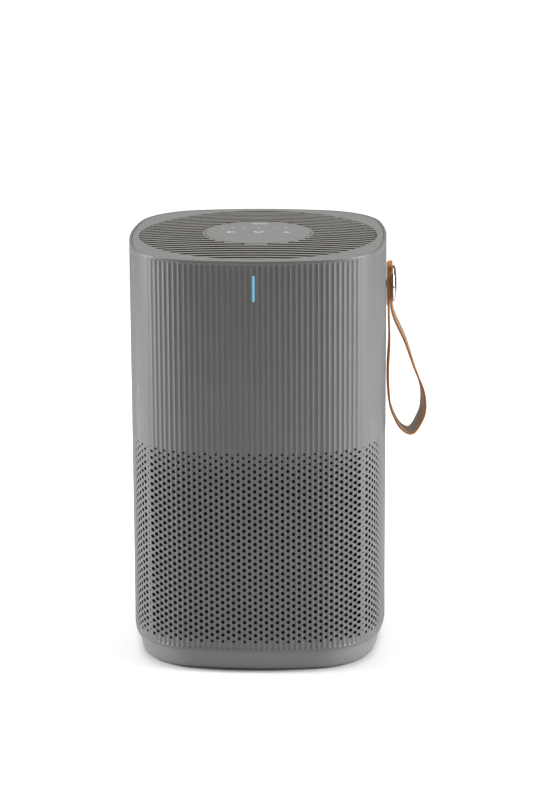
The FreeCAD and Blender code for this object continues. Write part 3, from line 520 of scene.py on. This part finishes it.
def endRows(tip, upward):
    # rounded end of a groove: its half-width shrinks as the side of a circle does
    w = halfPitch * np.sin(np.linspace(0, math.pi / 2, 7))
    half = np.sqrt(np.maximum(halfPitch ** 2 - w ** 2, 0))
    half[-1] = 0.0
    rows = []
    for wide, rise in zip(half, w):
        u = np.concatenate(([-halfPitch], wide * across / halfPitch, [halfPitch]))
        deep, full = fluteInset(wide * across / halfPitch, rise), fluteInset(wide * across / halfPitch)
        share = np.concatenate(([0], np.divide(deep, full, out=np.zeros(len(full)), where=full > 1e-9), [0]))
        rows.append(column(u, tip - upward * (halfPitch - rise), 0.0, share))
    return np.stack(rows if upward > 0 else rows[::-1])


def loopOf(u0, z0, heights):  # corners of a cell, anticlockwise, with the rows its neighbours have
    low, high, middle = heights[0], heights[-1], heights[1:-1]
    bottom = np.stack([u0, np.full_like(u0, low)], -1)
    right = np.stack([np.full(len(middle), u0[-1]), middle], -1)
    top = np.stack([u0[::-1], np.full_like(u0, high)], -1)
    left = np.stack([np.full(len(middle), u0[0]), middle[::-1]], -1)
    return np.concatenate([bottom, right, top, left]) - (0.0, z0)


def ringCell(middle, heights, ring):  # quads from a cell's border to the ring inside it
    border = loopOf(across, middle, np.asarray(heights, dtype=float))
    outer = column(border[:, 0], border[:, 1] + middle, 0.0, 1.0)
    inner = ring(border, middle)
    n = len(border)
    i = np.arange(n)
    j = (i + 1) % n
    return np.concatenate([outer, inner]), np.stack([i, j, n + j, n + i], -1)


def holeRing(radius):
    def ring(border, middle):  # ellipse points in the direction of each border point
        turn = np.arctan2(border[:, 1], border[:, 0])
        return column(0.0, middle + radius * np.sin(turn), 0.0, 1.0, radius * np.cos(turn))
    return ring


def slotRing(border, middle):  # stadium: nearest point of its middle line, moved out by half its width
    half = shell["slotWidth"] / 2
    limit = shell["slotLength"] / 2 - half
    core = np.clip(border[:, 1], -limit, limit)
    out = np.stack([border[:, 0], border[:, 1] - core], -1)
    out *= half / np.linalg.norm(out, axis=1, keepdims=True)
    return column(out[:, 0], middle + core + out[:, 1], 0.0, 1.0)


def columnSheet(odd, withSlot=False, size=1.0):
    step = shell["holeStep"]
    rim, seam = shellHigh[2], shellLow[2]
    topTip, lowTip = rim - shell["topBand"], seam + shell["bottomBand"]
    cellTop = shell["holeTop"] + step
    cellLow = shell["holeTop"] - shell["holeRows"] * step
    parts = []

    def addRows(rows):
        parts.append((rows.reshape(-1, 5), gridQuads(rows.shape[0], rows.shape[1])))

    addRows(bandRows([(0.35, seam), (0.12, seam + 0.1), (0, seam + 0.35), (0, lowTip)]))
    addRows(endRows(lowTip, -1))
    addRows(straightRows([lowTip + halfPitch, cellLow]))
    if odd:
        addRows(straightRows([cellLow, cellLow + step / 2, cellLow + step]))
    for row in range(0 if odd else 1, shell["holeRows"], 2):
        shrink = 1 - shell["fadeTop"][0] * math.exp(-row / shell["fadeTop"][1])
        shrink *= 1 - shell["fadeBottom"][0] * math.exp(-(shell["holeRows"] - 1 - row) / shell["fadeBottom"][1])
        middle = shell["holeTop"] - row * step
        heights = middle + step * np.array([-1, -0.5, 0, 0.5, 1])
        parts.append(ringCell(middle, heights, holeRing(shell["holeRadius"] * shrink * size)))
    if not odd:
        addRows(straightRows([cellTop - step, cellTop - step / 2, cellTop]))
    slotRows = slotMiddle + np.array(shell["slotRows"])
    addRows(straightRows([cellTop, *shell["plainRows"], slotRows[0]]))
    if withSlot:
        parts.append(ringCell(slotMiddle, slotRows, slotRing))
    else:
        addRows(straightRows(slotRows))
    addRows(straightRows([slotRows[-1], topTip - halfPitch]))
    addRows(endRows(topTip, 1))
    r = shell["rimRound"]
    curve = [(r - r * math.cos(a), rim - r + r * math.sin(a)) for a in np.linspace(0, math.pi / 2, 5)]
    addRows(bandRows([(0, topTip)] + curve))
    return join(parts)


def sideways(along):
    # how far a hole drifts along the wall on its way in: the wall times the tangent of the angle between
    # its normal and the way the holes run, easing to nothing where the front's holes meet the side's
    columns = along / pitch
    offset = (columns + perSide) % (2 * perSide) - perSide
    onSide = np.abs(offset) > shell["drillColumn"]
    nearest = np.round((columns - offset) / perSide) + np.where(onSide, np.sign(offset), 0)
    away = np.abs(columns - perSide * nearest)
    angle = planPoint(along)[2] - nearest * math.pi / 2
    last = np.where(onSide, perSide - shell["drillColumn"], shell["drillColumn"])
    ease = np.clip((last - away) / 2, 0, 1)
    return shell["wall"] * np.tan(np.clip(angle, -0.8, 0.8)) * ease, angle


def makeShell():
    sheets = {"even": columnSheet(False), "odd": columnSheet(True), "slot": columnSheet(False, True),
              "seam": columnSheet(shell["drillColumn"] % 2 == 1, size=shell["seamHole"])}
    for sector, name in enumerate(("front", "right", "rear", "left")):
        parts = []
        for index in range(sector * perSide - perSide // 2, sector * perSide + perSide // 2):
            offset = abs((index + perSide) % (2 * perSide) - perSide)
            seam = offset == shell["drillColumn"]
            kind = "slot" if index == 0 else ("seam" if seam else ("odd" if index % 2 else "even"))
            points, quads = sheets[kind]
            lean = 0.0 if seam else float(sideways(np.array(index * pitch))[1])
            u = points[:, 0] + points[:, 1] * min(1 / math.cos(lean), shell["longest"])
            depth = min(max((abs(offset - shell["smoothColumn"]) - shell["smoothReach"] + 1) / 2, 0), 1)
            inset = points[:, 3] + points[:, 4] * depth * fluteInset(u)
            parts.append((np.stack([index * pitch + u, points[:, 2], inset], -1), quads))
        sheet, quads = join(parts)
        x, y, _ = planPoint(sheet[:, 0], sheet[:, 2])
        outer = np.stack([x, y, sheet[:, 1]], -1)
        first, same = weld(outer)
        outer, sheet, quads = outer[first], sheet[first], same[quads]
        x, y, _ = planPoint(sheet[:, 0] + sideways(sheet[:, 0])[0], shell["wall"])
        inner = np.stack([x, y, sheet[:, 1]], -1)
        size = len(outer)
        edges = np.stack([quads, np.roll(quads, -1, axis=1)], -1).reshape(-1, 2).astype(np.int64)
        edges = edges[edges[:, 0] != edges[:, 1]]
        twins = np.isin(edges[:, 0] * size + edges[:, 1], edges[:, 1] * size + edges[:, 0])
        border = edges[~twins]
        walls = np.stack([border[:, 1], border[:, 0], border[:, 0] + size, border[:, 1] + size], -1)
        allQuads = np.concatenate([quads, walls, quads[:, ::-1] + size])
        height = outer[border, 2]
        # hole walls and the inside sheet take the second, near-black finish: painted shade inside the holes
        shadedHoleWalls = ((height > shellLow[2] + 1) & (height < shellHigh[2] - 1)).all(axis=1)
        faceFinish = np.concatenate([np.zeros(len(quads)), shadedHoleWalls, np.ones(len(quads))])
        sharp = np.concatenate([border, border + size])
        mesh = meshOf("shell_" + name, np.concatenate([outer, inner]), allQuads,
                      [finishes["shell"], finishes["shellInsideShade"]], faceFinish, sharpPairs=sharp)
        place(mesh, "shell_" + name, "housing", "shell", ("outer_shell",) if sector == 0 else ())
        print("shell side", name, len(mesh.polygons), "faces")


def loops(stations, count=480):
    # each station is a closed loop at a height: the outline moved in, or a circle, at the same bearings
    along = np.linspace(0, 4 * quarter, count, endpoint=False)
    px, py, _ = planPoint(along)
    bearing = np.arctan2(py, px)
    rows = []
    for kind, size, z in stations:
        if kind == "plan":
            x, y, _ = planPoint(along, size)
        else:
            x, y = size * np.cos(bearing), size * np.sin(bearing)
        rows.append(np.stack([x, y, np.full(count, float(z))], -1))
    points = np.concatenate(rows)
    return points, outward(points, gridQuads(len(stations), count, aroundRows=True, aroundColumns=True))


screen = {"outer": 2.35, "inner": 2.95, "low": 26.0, "high": 194.4}


def makeScreen():  # fine net sleeve just behind the holes
    points, quads = loops([("plan", screen[face], screen[end]) for face, end in
                           (("outer", "low"), ("outer", "high"), ("inner", "high"), ("inner", "low"))], 320)
    place(meshOf("dustScreen", points, quads, [finishes["screen"]], smoothAngle=40), "dustScreen", "housing", "mesh")


ring = {"inset": 2.5, "thickness": 3.0, "bore": 101.0, "skirt": 1.6, "depth": 11.3,
        "edgeRound": 0.35, "boreRound": 0.6}


def makeRing():
    top = shellHigh[2]
    low, foot = top - ring["thickness"], top - ring["depth"]
    r, b = ring["edgeRound"], ring["boreRound"]
    turn = np.linspace(0, math.pi / 2, 5)
    skirt = ring["bore"] + ring["skirt"]
    stations = [("plan", ring["inset"], low)]
    stations += [("plan", ring["inset"] + r * (1 - math.cos(a)), top - r + r * math.sin(a)) for a in turn]
    stations += [("circle", ring["bore"] + b * (1 - math.sin(a)), top - b + b * math.cos(a)) for a in turn]
    stations += [("circle", ring["bore"], foot), ("circle", skirt, foot), ("circle", skirt, low)]
    points, quads = loops(stations)
    mesh = meshOf("topRing", points, quads, [finishes["trim"]], smoothAngle=32)
    place(mesh, "topRing", "housing", "trim", ("top_ring",))


base = {
    "sideInset": 1.8, "edgeInset": 5.5, "bottom": 1.5, "floor": 6.5, "wall": 3.2, "spigot": 7.0, "spigotInset": 2.5,
    "belly": [(5.33, 5.2), (5.45, 4.2), (5.7, 3.2), (6.15, 2.4), (6.9, 1.85), (7.9, 1.6)],   # (inset, height)
    "bottomInset": 9.2, "opening": 84.4, "collar": 2.6, "collarTop": 13.5,
    "footInner": 85.3, "footOuter": 89.2, "footTop": 2.8, "footGap": 0.1,
    "inletRadius": 5.0, "inletHeight": 12.0, "inletFrom": 98.0, "inletTo": 112.0,
    "screwHead": 3.1, "screwSeat": 3.9, "screwGap": 0.3,
}


def cutAway(mesh, name, tools, body, slot, replaced):
    # takes the tool shapes out of a closed mesh, and keeps only the result
    piece = place(mesh, name, None, slot)
    points, quads = join(tools)
    cutter = bpy.data.objects.new("cutter", meshOf("cutter", points, quads, [mesh.materials[0]]))
    bpy.context.collection.objects.link(cutter)
    cut = piece.modifiers.new("cut", "BOOLEAN")
    cut.operation, cut.solver, cut.object = "DIFFERENCE", "EXACT", cutter
    bpy.context.view_layer.update()
    solid = bpy.data.meshes.new_from_object(piece.evaluated_get(bpy.context.evaluated_depsgraph_get()))
    piece.modifiers.clear()
    piece.data = solid
    solid.name = name
    bpy.data.objects.remove(cutter)
    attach(piece, body)
    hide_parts(*replaced)
    return piece


def peg(centre, axis, radius, start, end, count=48):  # closed cylinder along Y or Z, for cutting
    points, quads = spun([(0, start), (radius, start), (radius, end), (0, end)], count)
    if axis == "Y":
        points = points[:, [0, 2, 1]]
        quads = quads[:, ::-1]
    return points + np.array(centre, dtype=float), quads


def makeBase():
    seam = shellLow[2]
    b = base
    edge = b["sideInset"]
    side = [(edge + 0.35, seam), (edge + 0.1, seam - 0.1), (edge + 0.06, seam - 0.35)] + b["belly"]
    stations = [("plan", inset, z) for inset, z in side + [(b["bottomInset"], b["bottom"])]]
    footIn, footOut = b["footInner"] - b["footGap"], b["footOuter"] + b["footGap"]
    footTop = b["footTop"] + b["footGap"] / 2
    collar, wallIn, spigotTop = b["opening"] + b["collar"], b["edgeInset"] + b["wall"], seam + b["spigot"]
    stations += [("circle", footOut, b["bottom"]), ("circle", footOut, footTop), ("circle", footIn, footTop),
                 ("circle", footIn, b["bottom"]), ("circle", b["opening"], b["bottom"]),
                 ("circle", b["opening"], b["collarTop"]), ("circle", collar, b["collarTop"]),
                 ("circle", collar, b["floor"]), ("plan", wallIn, b["floor"]), ("plan", wallIn, spigotTop),
                 ("plan", b["spigotInset"], spigotTop), ("plan", b["spigotInset"], seam)]
    points, quads = loops(stations)
    mesh = meshOf("basePlinth", points, quads, [finishes["base"]])
    at = cadBox("base_screws")[1][0] - (b["screwHead"] - b["screwGap"])
    tools = [peg((0, 0, b["inletHeight"]), "Y", b["inletRadius"], b["inletFrom"], b["inletTo"])]
    tools += [peg((x, y, 0), "Z", b["screwHead"], -2.0, b["screwSeat"], 32) for x in (-at, at) for y in (-at, at)]
    piece = cutAway(mesh, "basePlinth", tools, "housing", "base", ("base_plinth",))
    faces = piece.data.polygons
    faces.foreach_set("use_smooth", np.ones(len(faces), dtype=bool))
    piece.data.set_sharp_from_angle(angle=math.radians(30))
    print("base made:", len(faces), "faces")


dome = {"radius": 100.7, "edge": 355.7, "rise": 3.1}
domeRadius = (dome["radius"] ** 2 + dome["rise"] ** 2) / (2 * dome["rise"])
grille = {
    "pitch": 7.37, "width": 3.9, "low": 348.7, "rows": 13, "reach": 100.5, "lap": 0.5,
    "hubOuter": 47.3, "hubInner": 44.9, "hubLow": 348.0, "hubDrop": 0.5,
    "hoopOuter": 100.7, "hoopInner": 98.6, "hoopLow": 345.0, "hoopDrop": 2.2,
    "section": [(-1, None), (-1, -1.3), (-0.95, -0.62), (-0.8, -0.24), (-0.5, -0.06), (0, 0), (0.5, -0.06),
                (0.8, -0.24), (0.95, -0.62), (1, -1.3), (1, None)],   # share of the half-width, drop from the dome
}


def domeHeight(radius):  # a sphere's cap over the grille's circle
    return dome["edge"] + np.sqrt(domeRadius ** 2 - np.asarray(radius, dtype=float) ** 2) \
        - math.sqrt(domeRadius ** 2 - dome["radius"] ** 2)


def slat(middle, start, end, stations=22):
    # a bar along X whose rounded top follows the dome and whose ends follow two circles
    half = grille["width"] / 2
    section = np.array(grille["section"], dtype=float)
    y = middle + half * section[:, 0]
    first = np.sqrt(np.maximum(start ** 2 - y ** 2, 0)) if start else -np.sqrt(end ** 2 - y ** 2)
    last = np.sqrt(end ** 2 - y ** 2)
    t = np.linspace(0, 1, stations)[:, None]
    x = first + t * (last - first)
    drop = np.nan_to_num(section[:, 1], nan=0.0)
    z = np.where(np.isnan(section[:, 1]), grille["low"], domeHeight(np.hypot(x, y)) + drop)
    points = np.stack([x, np.broadcast_to(y, x.shape), z], -1)
    caps = [np.broadcast_to(points[k].mean(axis=0), points[k].shape) for k in (0, -1)]
    points = np.concatenate([caps[0][None], points, caps[1][None]])
    quads = gridQuads(points.shape[0], points.shape[1], aroundColumns=True)
    # these faces take the near-black second finish: painted shade down the slats' sides
    gapShade = np.array([True] * 3 + [False] * 4 + [True] * 4)   # section faces below the rounded top
    flat = points.reshape(-1, 3)
    return flat, outward(flat, quads), np.tile(gapShade, points.shape[0] - 1)


def makeGrille():
    g = grille
    parts, gapShade = [], []
    for row in range(-g["rows"], g["rows"] + 1):
        middle = row * g["pitch"]
        if abs(middle) + g["width"] / 2 < g["hubOuter"] - 0.6:
            points, quads, gapShadeFaces = slat(middle, g["hubOuter"] - g["lap"], g["reach"])
            parts += [(points, quads), (points * (-1, 1, 1), quads[:, ::-1])]
            gapShade += [gapShadeFaces, gapShadeFaces]
        else:
            points, quads, gapShadeFaces = slat(middle, 0, g["reach"], 40)
            parts.append((points, quads))
            gapShade.append(gapShadeFaces)
    hubTop = float(domeHeight(g["hubOuter"])) - g["hubDrop"]
    hub = [(g["hubInner"], g["hubLow"]), (g["hubOuter"], g["hubLow"]), (g["hubOuter"], hubTop - 0.4),
           (g["hubOuter"] - 0.4, hubTop), (g["hubInner"] + 0.3, hubTop), (g["hubInner"], hubTop - 0.3)]
    hoopTop = dome["edge"] - g["hoopDrop"]
    hoop = [(g["hoopInner"], g["hoopLow"]), (g["hoopOuter"], g["hoopLow"]), (g["hoopOuter"], hoopTop),
            (g["hoopInner"] + 0.4, hoopTop), (g["hoopInner"], hoopTop - 0.4)]
    rings = [spun(hub, 192, ring=True), spun(hoop, 288, ring=True)]
    points, quads = join(parts + rings)
    # slat sides in the gaps get the second, near-black finish as painted shade; hub and hoop keep the first
    faceFinish = np.concatenate(gapShade + [np.zeros(len(quads)) for _, quads in rings])
    mesh = meshOf("outletGrille", points, quads, [finishes["grille"], finishes["grilleSideShade"]], faceFinish,
                  smoothAngle=50)
    place(mesh, "outletGrille", "housing", "grille", ("outlet_grille",))


disc = {"radius": 44.6, "low": 355.2, "edgeRound": 0.5, "drop": 0.12, "printLift": 0.03, "printLine": 0.55}


def discHeight(radius):
    return domeHeight(radius) - disc["drop"]


def makeDisc():
    r, big = disc["edgeRound"], disc["radius"]
    edge = float(discHeight(big - r))
    profile = [(0, float(discHeight(0)))]
    profile += [(q, float(discHeight(q))) for q in np.linspace(2.0, big - r, 22)]
    profile += [(big - r + r * math.sin(a), edge - r + r * math.cos(a)) for a in np.linspace(0.3, math.pi / 2, 5)]
    profile += [(big, disc["low"]), (0, disc["low"])]
    points, quads = spun(profile, 192)
    place(meshOf("controlDisc", points, quads, [finishes["disc"]], smoothAngle=40), "controlDisc", "housing", "disc",
          ("control_disc",))


def printedLine(path, closed, width):
    # a thin band along a path on the disc: left and right edges, on top and just under the surface
    path = np.asarray(path, dtype=float)
    if closed:
        ahead = np.roll(path, -1, axis=0) - np.roll(path, 1, axis=0)
    else:
        ahead = np.gradient(path, axis=0)
    ahead /= np.linalg.norm(ahead, axis=1, keepdims=True)
    side = np.stack([-ahead[:, 1], ahead[:, 0]], -1) * width / 2
    left, right = path + side, path - side
    rows = []
    for edge, lift in ((left, disc["printLift"]), (left, -0.1), (right, -0.1), (right, disc["printLift"])):
        rows.append(np.column_stack([edge, discHeight(np.hypot(edge[:, 0], edge[:, 1])) + lift]))
    points = np.stack(rows, 1)
    if not closed:
        caps = [np.broadcast_to(points[k].mean(axis=0), points[k].shape) for k in (0, -1)]
        points = np.concatenate([caps[0][None], points, caps[1][None]])
    quads = gridQuads(points.shape[0], 4, aroundRows=closed, aroundColumns=True)
    flat = points.reshape(-1, 3)
    return flat, outward(flat, quads)


icons = {
    "row": -2.5, "places": (-23.5, 0.5, 24.5), "size": 3.4,
    "marks": (-31, -22, -13.5, 0, 13, 23), "marksRow": 15.0, "markSize": 0.5,
    "airRow": 32.5, "airReach": 6.0, "airStep": 2.2, "airRise": 0.8,
}


def circlePath(x, y, radius, count):
    turn = np.linspace(0, 2 * math.pi, count, endpoint=False)
    return np.stack([x + radius * np.cos(turn), y + radius * np.sin(turn)], -1)


def levelPath(x, y, half, count):
    return np.stack([np.linspace(x - half, x + half, count), np.full(count, y)], -1)


def makeIcons():
    width, size, y = disc["printLine"], icons["size"], icons["row"]
    left, centre, right = icons["places"]
    lines = []
    for k in range(3):  # three leaf-shaped blades round a hub
        t = np.linspace(0, 2 * math.pi, 30, endpoint=False)
        turn = k * 2 * math.pi / 3 + 0.5 * np.sin(t) * 0.9
        radius = size * (0.62 - 0.36 * np.cos(t))
        lines.append((np.stack([left + radius * np.cos(turn), y + radius * np.sin(turn)], -1), True, width))
    t = np.linspace(0, 2 * math.pi, 48, endpoint=False)   # rounded screen: a squared-off ellipse
    squared = [np.sign(f(t)) * np.abs(f(t)) ** 0.35 for f in (np.cos, np.sin)]
    lines.append((np.stack([centre + size * squared[0], y + 0.6 + 0.7 * size * squared[1]], -1), True, width))
    lines.append((levelPath(centre, y - size + 0.2, 1.6, 5), False, width))
    for k, half in enumerate((1.2, 2.3, 3.3)):            # three steps of a level mark
        lines.append((levelPath(right, y + 2.2 - 2.0 * k, half, 6), False, width))
    for x in icons["marks"]:
        lines.append((circlePath(x, icons["marksRow"], icons["markSize"], 14), True, icons["markSize"]))
    t = np.linspace(-1, 1, 40)                            # two air waves
    for k in (0, 1):
        wave = icons["airRise"] * np.sin(t * 2 * math.pi)
        height = icons["airRow"] + icons["airStep"] * k + wave
        lines.append((np.stack([t * icons["airReach"], height], -1), False, width))
    points, quads = join([printedLine(*line) for line in lines])
    place(meshOf("discIcons", points, quads, [finishes["icon"]], smoothAngle=30), "discIcons", "housing", "disc")


strap = {
    "stackX": 112.3, "layer": 1.86, "width": 24.0, "rootZ": 296.5, "topZ": 331.0, "slit": 0.3, "edgeRound": 0.4,
    "loop": [(1.0, 0.0), (3.9, 11.5), (11.3, 27.5), (23.2, 59.5), (28.7, 73.0), (30.9, 86.0), (30.2, 95.5),
             (26.3, 104.5), (19.0, 112.6), (10.6, 108.6), (5.6, 101.0), (1.2, 90.0), (-0.5, 79.0), (-1.2, 50.5),
             (-0.4, 31.5), (-1.0, 0.0)],
    "stations": 240,
    "twist": (0.04, 0.12),   # how far the rear edge leans in at the body, and more at the far side
}


def smoothThrough(knots, first, last, count=900):
    # cubic pieces through the knots by chord length: the slopes are solved so that curvature runs on across
    # each inner knot, and are given at both ends
    h = np.linalg.norm(np.diff(knots, axis=0), axis=1)
    rise = np.diff(knots, axis=0) / h[:, None] ** 2
    size = len(knots)
    system = np.eye(size)
    wanted = np.zeros((size, 2))
    wanted[0], wanted[-1] = first, last
    inner = np.arange(1, size - 1)
    system[inner, inner - 1] = 1 / h[:-1]
    system[inner, inner] = 2 / h[:-1] + 2 / h[1:]
    system[inner, inner + 1] = 1 / h[1:]
    wanted[inner] = 3 * (rise[:-1] + rise[1:])
    slopes = np.linalg.solve(system, wanted)
    at = np.concatenate(([0], np.cumsum(h)))
    t = np.linspace(0, at[-1], count)
    k = np.clip(np.searchsorted(at, t, side="right") - 1, 0, size - 2)
    span = h[k][:, None]
    f = (t - at[k])[:, None] / span
    return (2 * f ** 3 - 3 * f ** 2 + 1) * knots[k] + (f ** 3 - 2 * f ** 2 + f) * span * slopes[k] \
        + (3 * f ** 2 - 2 * f ** 3) * knots[k + 1] + (f ** 3 - f ** 2) * span * slopes[k + 1]


def strapLine():
    # straight down the front layer, round the loop and straight up the back layer, in even steps
    x0, gap = strap["stackX"], strap["layer"] / 2 + 0.02
    parted = gap + strap["slit"] / 2
    low = strap["rootZ"] + 6
    loop = [(x0 + out, strap["rootZ"] - down) for out, down in strap["loop"]]
    loop[0], loop[-1] = (x0 + parted, strap["rootZ"]), (x0 - parted, strap["rootZ"])
    curve = smoothThrough(np.array([(x0 + gap, low)] + loop + [(x0 - gap, low)]), (0, -1), (0, 1))
    line = np.concatenate([[(x0 + gap, strap["topZ"])], curve, [(x0 - gap, strap["topZ"])]])
    length = np.concatenate(([0], np.cumsum(np.linalg.norm(np.diff(line, axis=0), axis=1))))
    even = np.linspace(0, length[-1], strap["stations"])
    return np.stack([np.interp(even, length, line[:, i]) for i in (0, 1)], -1)


def makeStrap():
    # a rounded band section carried along the line, square to it; its rows split into face, edges and back
    line = strapLine()
    ahead = np.gradient(line, axis=0)
    ahead /= np.linalg.norm(ahead, axis=1, keepdims=True)
    out = np.stack([-ahead[:, 1], ahead[:, 0]], -1)
    half, t, r = strap["width"] / 2, strap["layer"] / 2, strap["edgeRound"]
    turn = np.linspace(0, math.pi / 2, 4)
    corner = [(half - r + r * math.sin(a), t - r + r * math.cos(a)) for a in turn]
    face = [(y, t) for y in np.linspace(-(half - r), half - r, 13)[1:-1]]
    rightEdge = corner + [(y, -z) for y, z in corner[::-1]]
    backFace = [(-y, -z) for y, z in face]
    section = np.array(face + rightEdge + backFace + [(-y, -z) for y, z in rightEdge])
    kinds = np.array([0] * len(face) + [2] * (len(rightEdge) - 1) + [1] * (len(backFace) + 1)
                     + [2] * (len(rightEdge) - 1) + [0])
    sag = np.clip((strap["rootZ"] - line[:, 1]) / 90.0, 0, 1) ** 2
    far = np.clip((line[:, 0] - strap["stackX"]) / 28, 0, 1)
    shear = (sag * (strap["twist"][0] + strap["twist"][1] * far))[:, None] * (section[:, 0] + half)
    x = line[:, 0:1] + out[:, 0:1] * section[:, 1] - shear
    z = line[:, 1:2] + out[:, 1:2] * section[:, 1]
    points = np.stack([x, np.broadcast_to(section[:, 0], x.shape), z], -1)
    caps = [np.broadcast_to(points[k].mean(axis=0), points[k].shape) for k in (0, -1)]
    points = np.concatenate([caps[0][None], points, caps[1][None]])
    quads = gridQuads(points.shape[0], points.shape[1], aroundColumns=True)
    faceFinish = np.tile(kinds, points.shape[0] - 1)
    faceFinish[:len(kinds)], faceFinish[-len(kinds):] = 2, 2
    flat = points.reshape(-1, 3)
    leathers = [finishes[part] for part in ("leather", "leather_back", "leatherEdge")]
    mesh = meshOf("strap", flat, outward(flat, quads), leathers, faceFinish, smoothAngle=60)
    piece = place(mesh, "strap", None, "leather", ("strap_stack", "strap_loop"))
    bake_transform(piece)
    print("strap made:", len(mesh.polygons), "faces")


button = {
    "back": 114.3, "front": 117.7, "radius": 15.8, "height": 313.6,
    "crown": [(0, 1), (0.25, 0.985), (0.5, 0.93), (0.7, 0.84), (0.84, 0.72), (0.93, 0.56), (0.98, 0.38), (1.0, 0.22),
              (0.995, 0.1), (0.97, 0.02), (0.94, 0), (0, 0)],   # shares of the radius and of the thickness
}


def makeButton():  # a thin crowned cap turned about the stud
    thick = button["front"] - button["back"]
    radius = button["radius"]
    points, quads = spun([(radius * r, thick * h) for r, h in button["crown"]], 128)
    points = np.stack([points[:, 2] + button["back"], points[:, 1], button["height"] - points[:, 0]], -1)
    quads = outward(points - points.mean(axis=0), quads)
    place(meshOf("strapButton", points, quads, [finishes["chrome"]], smoothAngle=50), "strapButton", "strap_root",
          "chrome", ("strap_button",))


def finishNodes():
    for node, thing in frame["nodes"].items():
        finish = finishes[slotOf[node]]
        if not thing.material_slots:
            thing.data.materials.append(finish)
        for slot in thing.material_slots:
            slot.material = finish


def makeFloor():  # a flat round of floor, with the white sky round it
    count = 128
    turn = np.linspace(0, 2 * math.pi, count, endpoint=False)
    rim = floorLook["radius"] / millimetre * np.stack([np.cos(turn), np.sin(turn), 0 * turn], -1)
    points = np.concatenate([rim, [[0, 0, 0]]])
    i = np.arange(count)
    quads = np.stack([i, (i + 1) % count, np.full(count, count), np.full(count, count)], -1)
    tree = Tree("paleFloor")
    drift = tree.noise(1.5, 3.0)
    tone = floorLook["colour"]
    tree.join(Base_Color=tree.colours(drift, [(0.3, tuple(v * 0.99 for v in tone)), (0.7, tone)]))
    tree.fix(Roughness=floorLook["roughness"], Specular_IOR_Level=0.1)
    floor = bpy.data.objects.new("floor", meshOf("floor", points, quads, [tree.material]))
    bpy.context.collection.objects.link(floor)


makeCamera()
makeLamps()
makeSky()
makeFloor()
finishNodes()
print("stage set")
makeShell()
makeScreen()
makeRing()
makeBase()
makeGrille()
makeDisc()
makeIcons()
makeStrap()
makeButton()
print("pieces made")
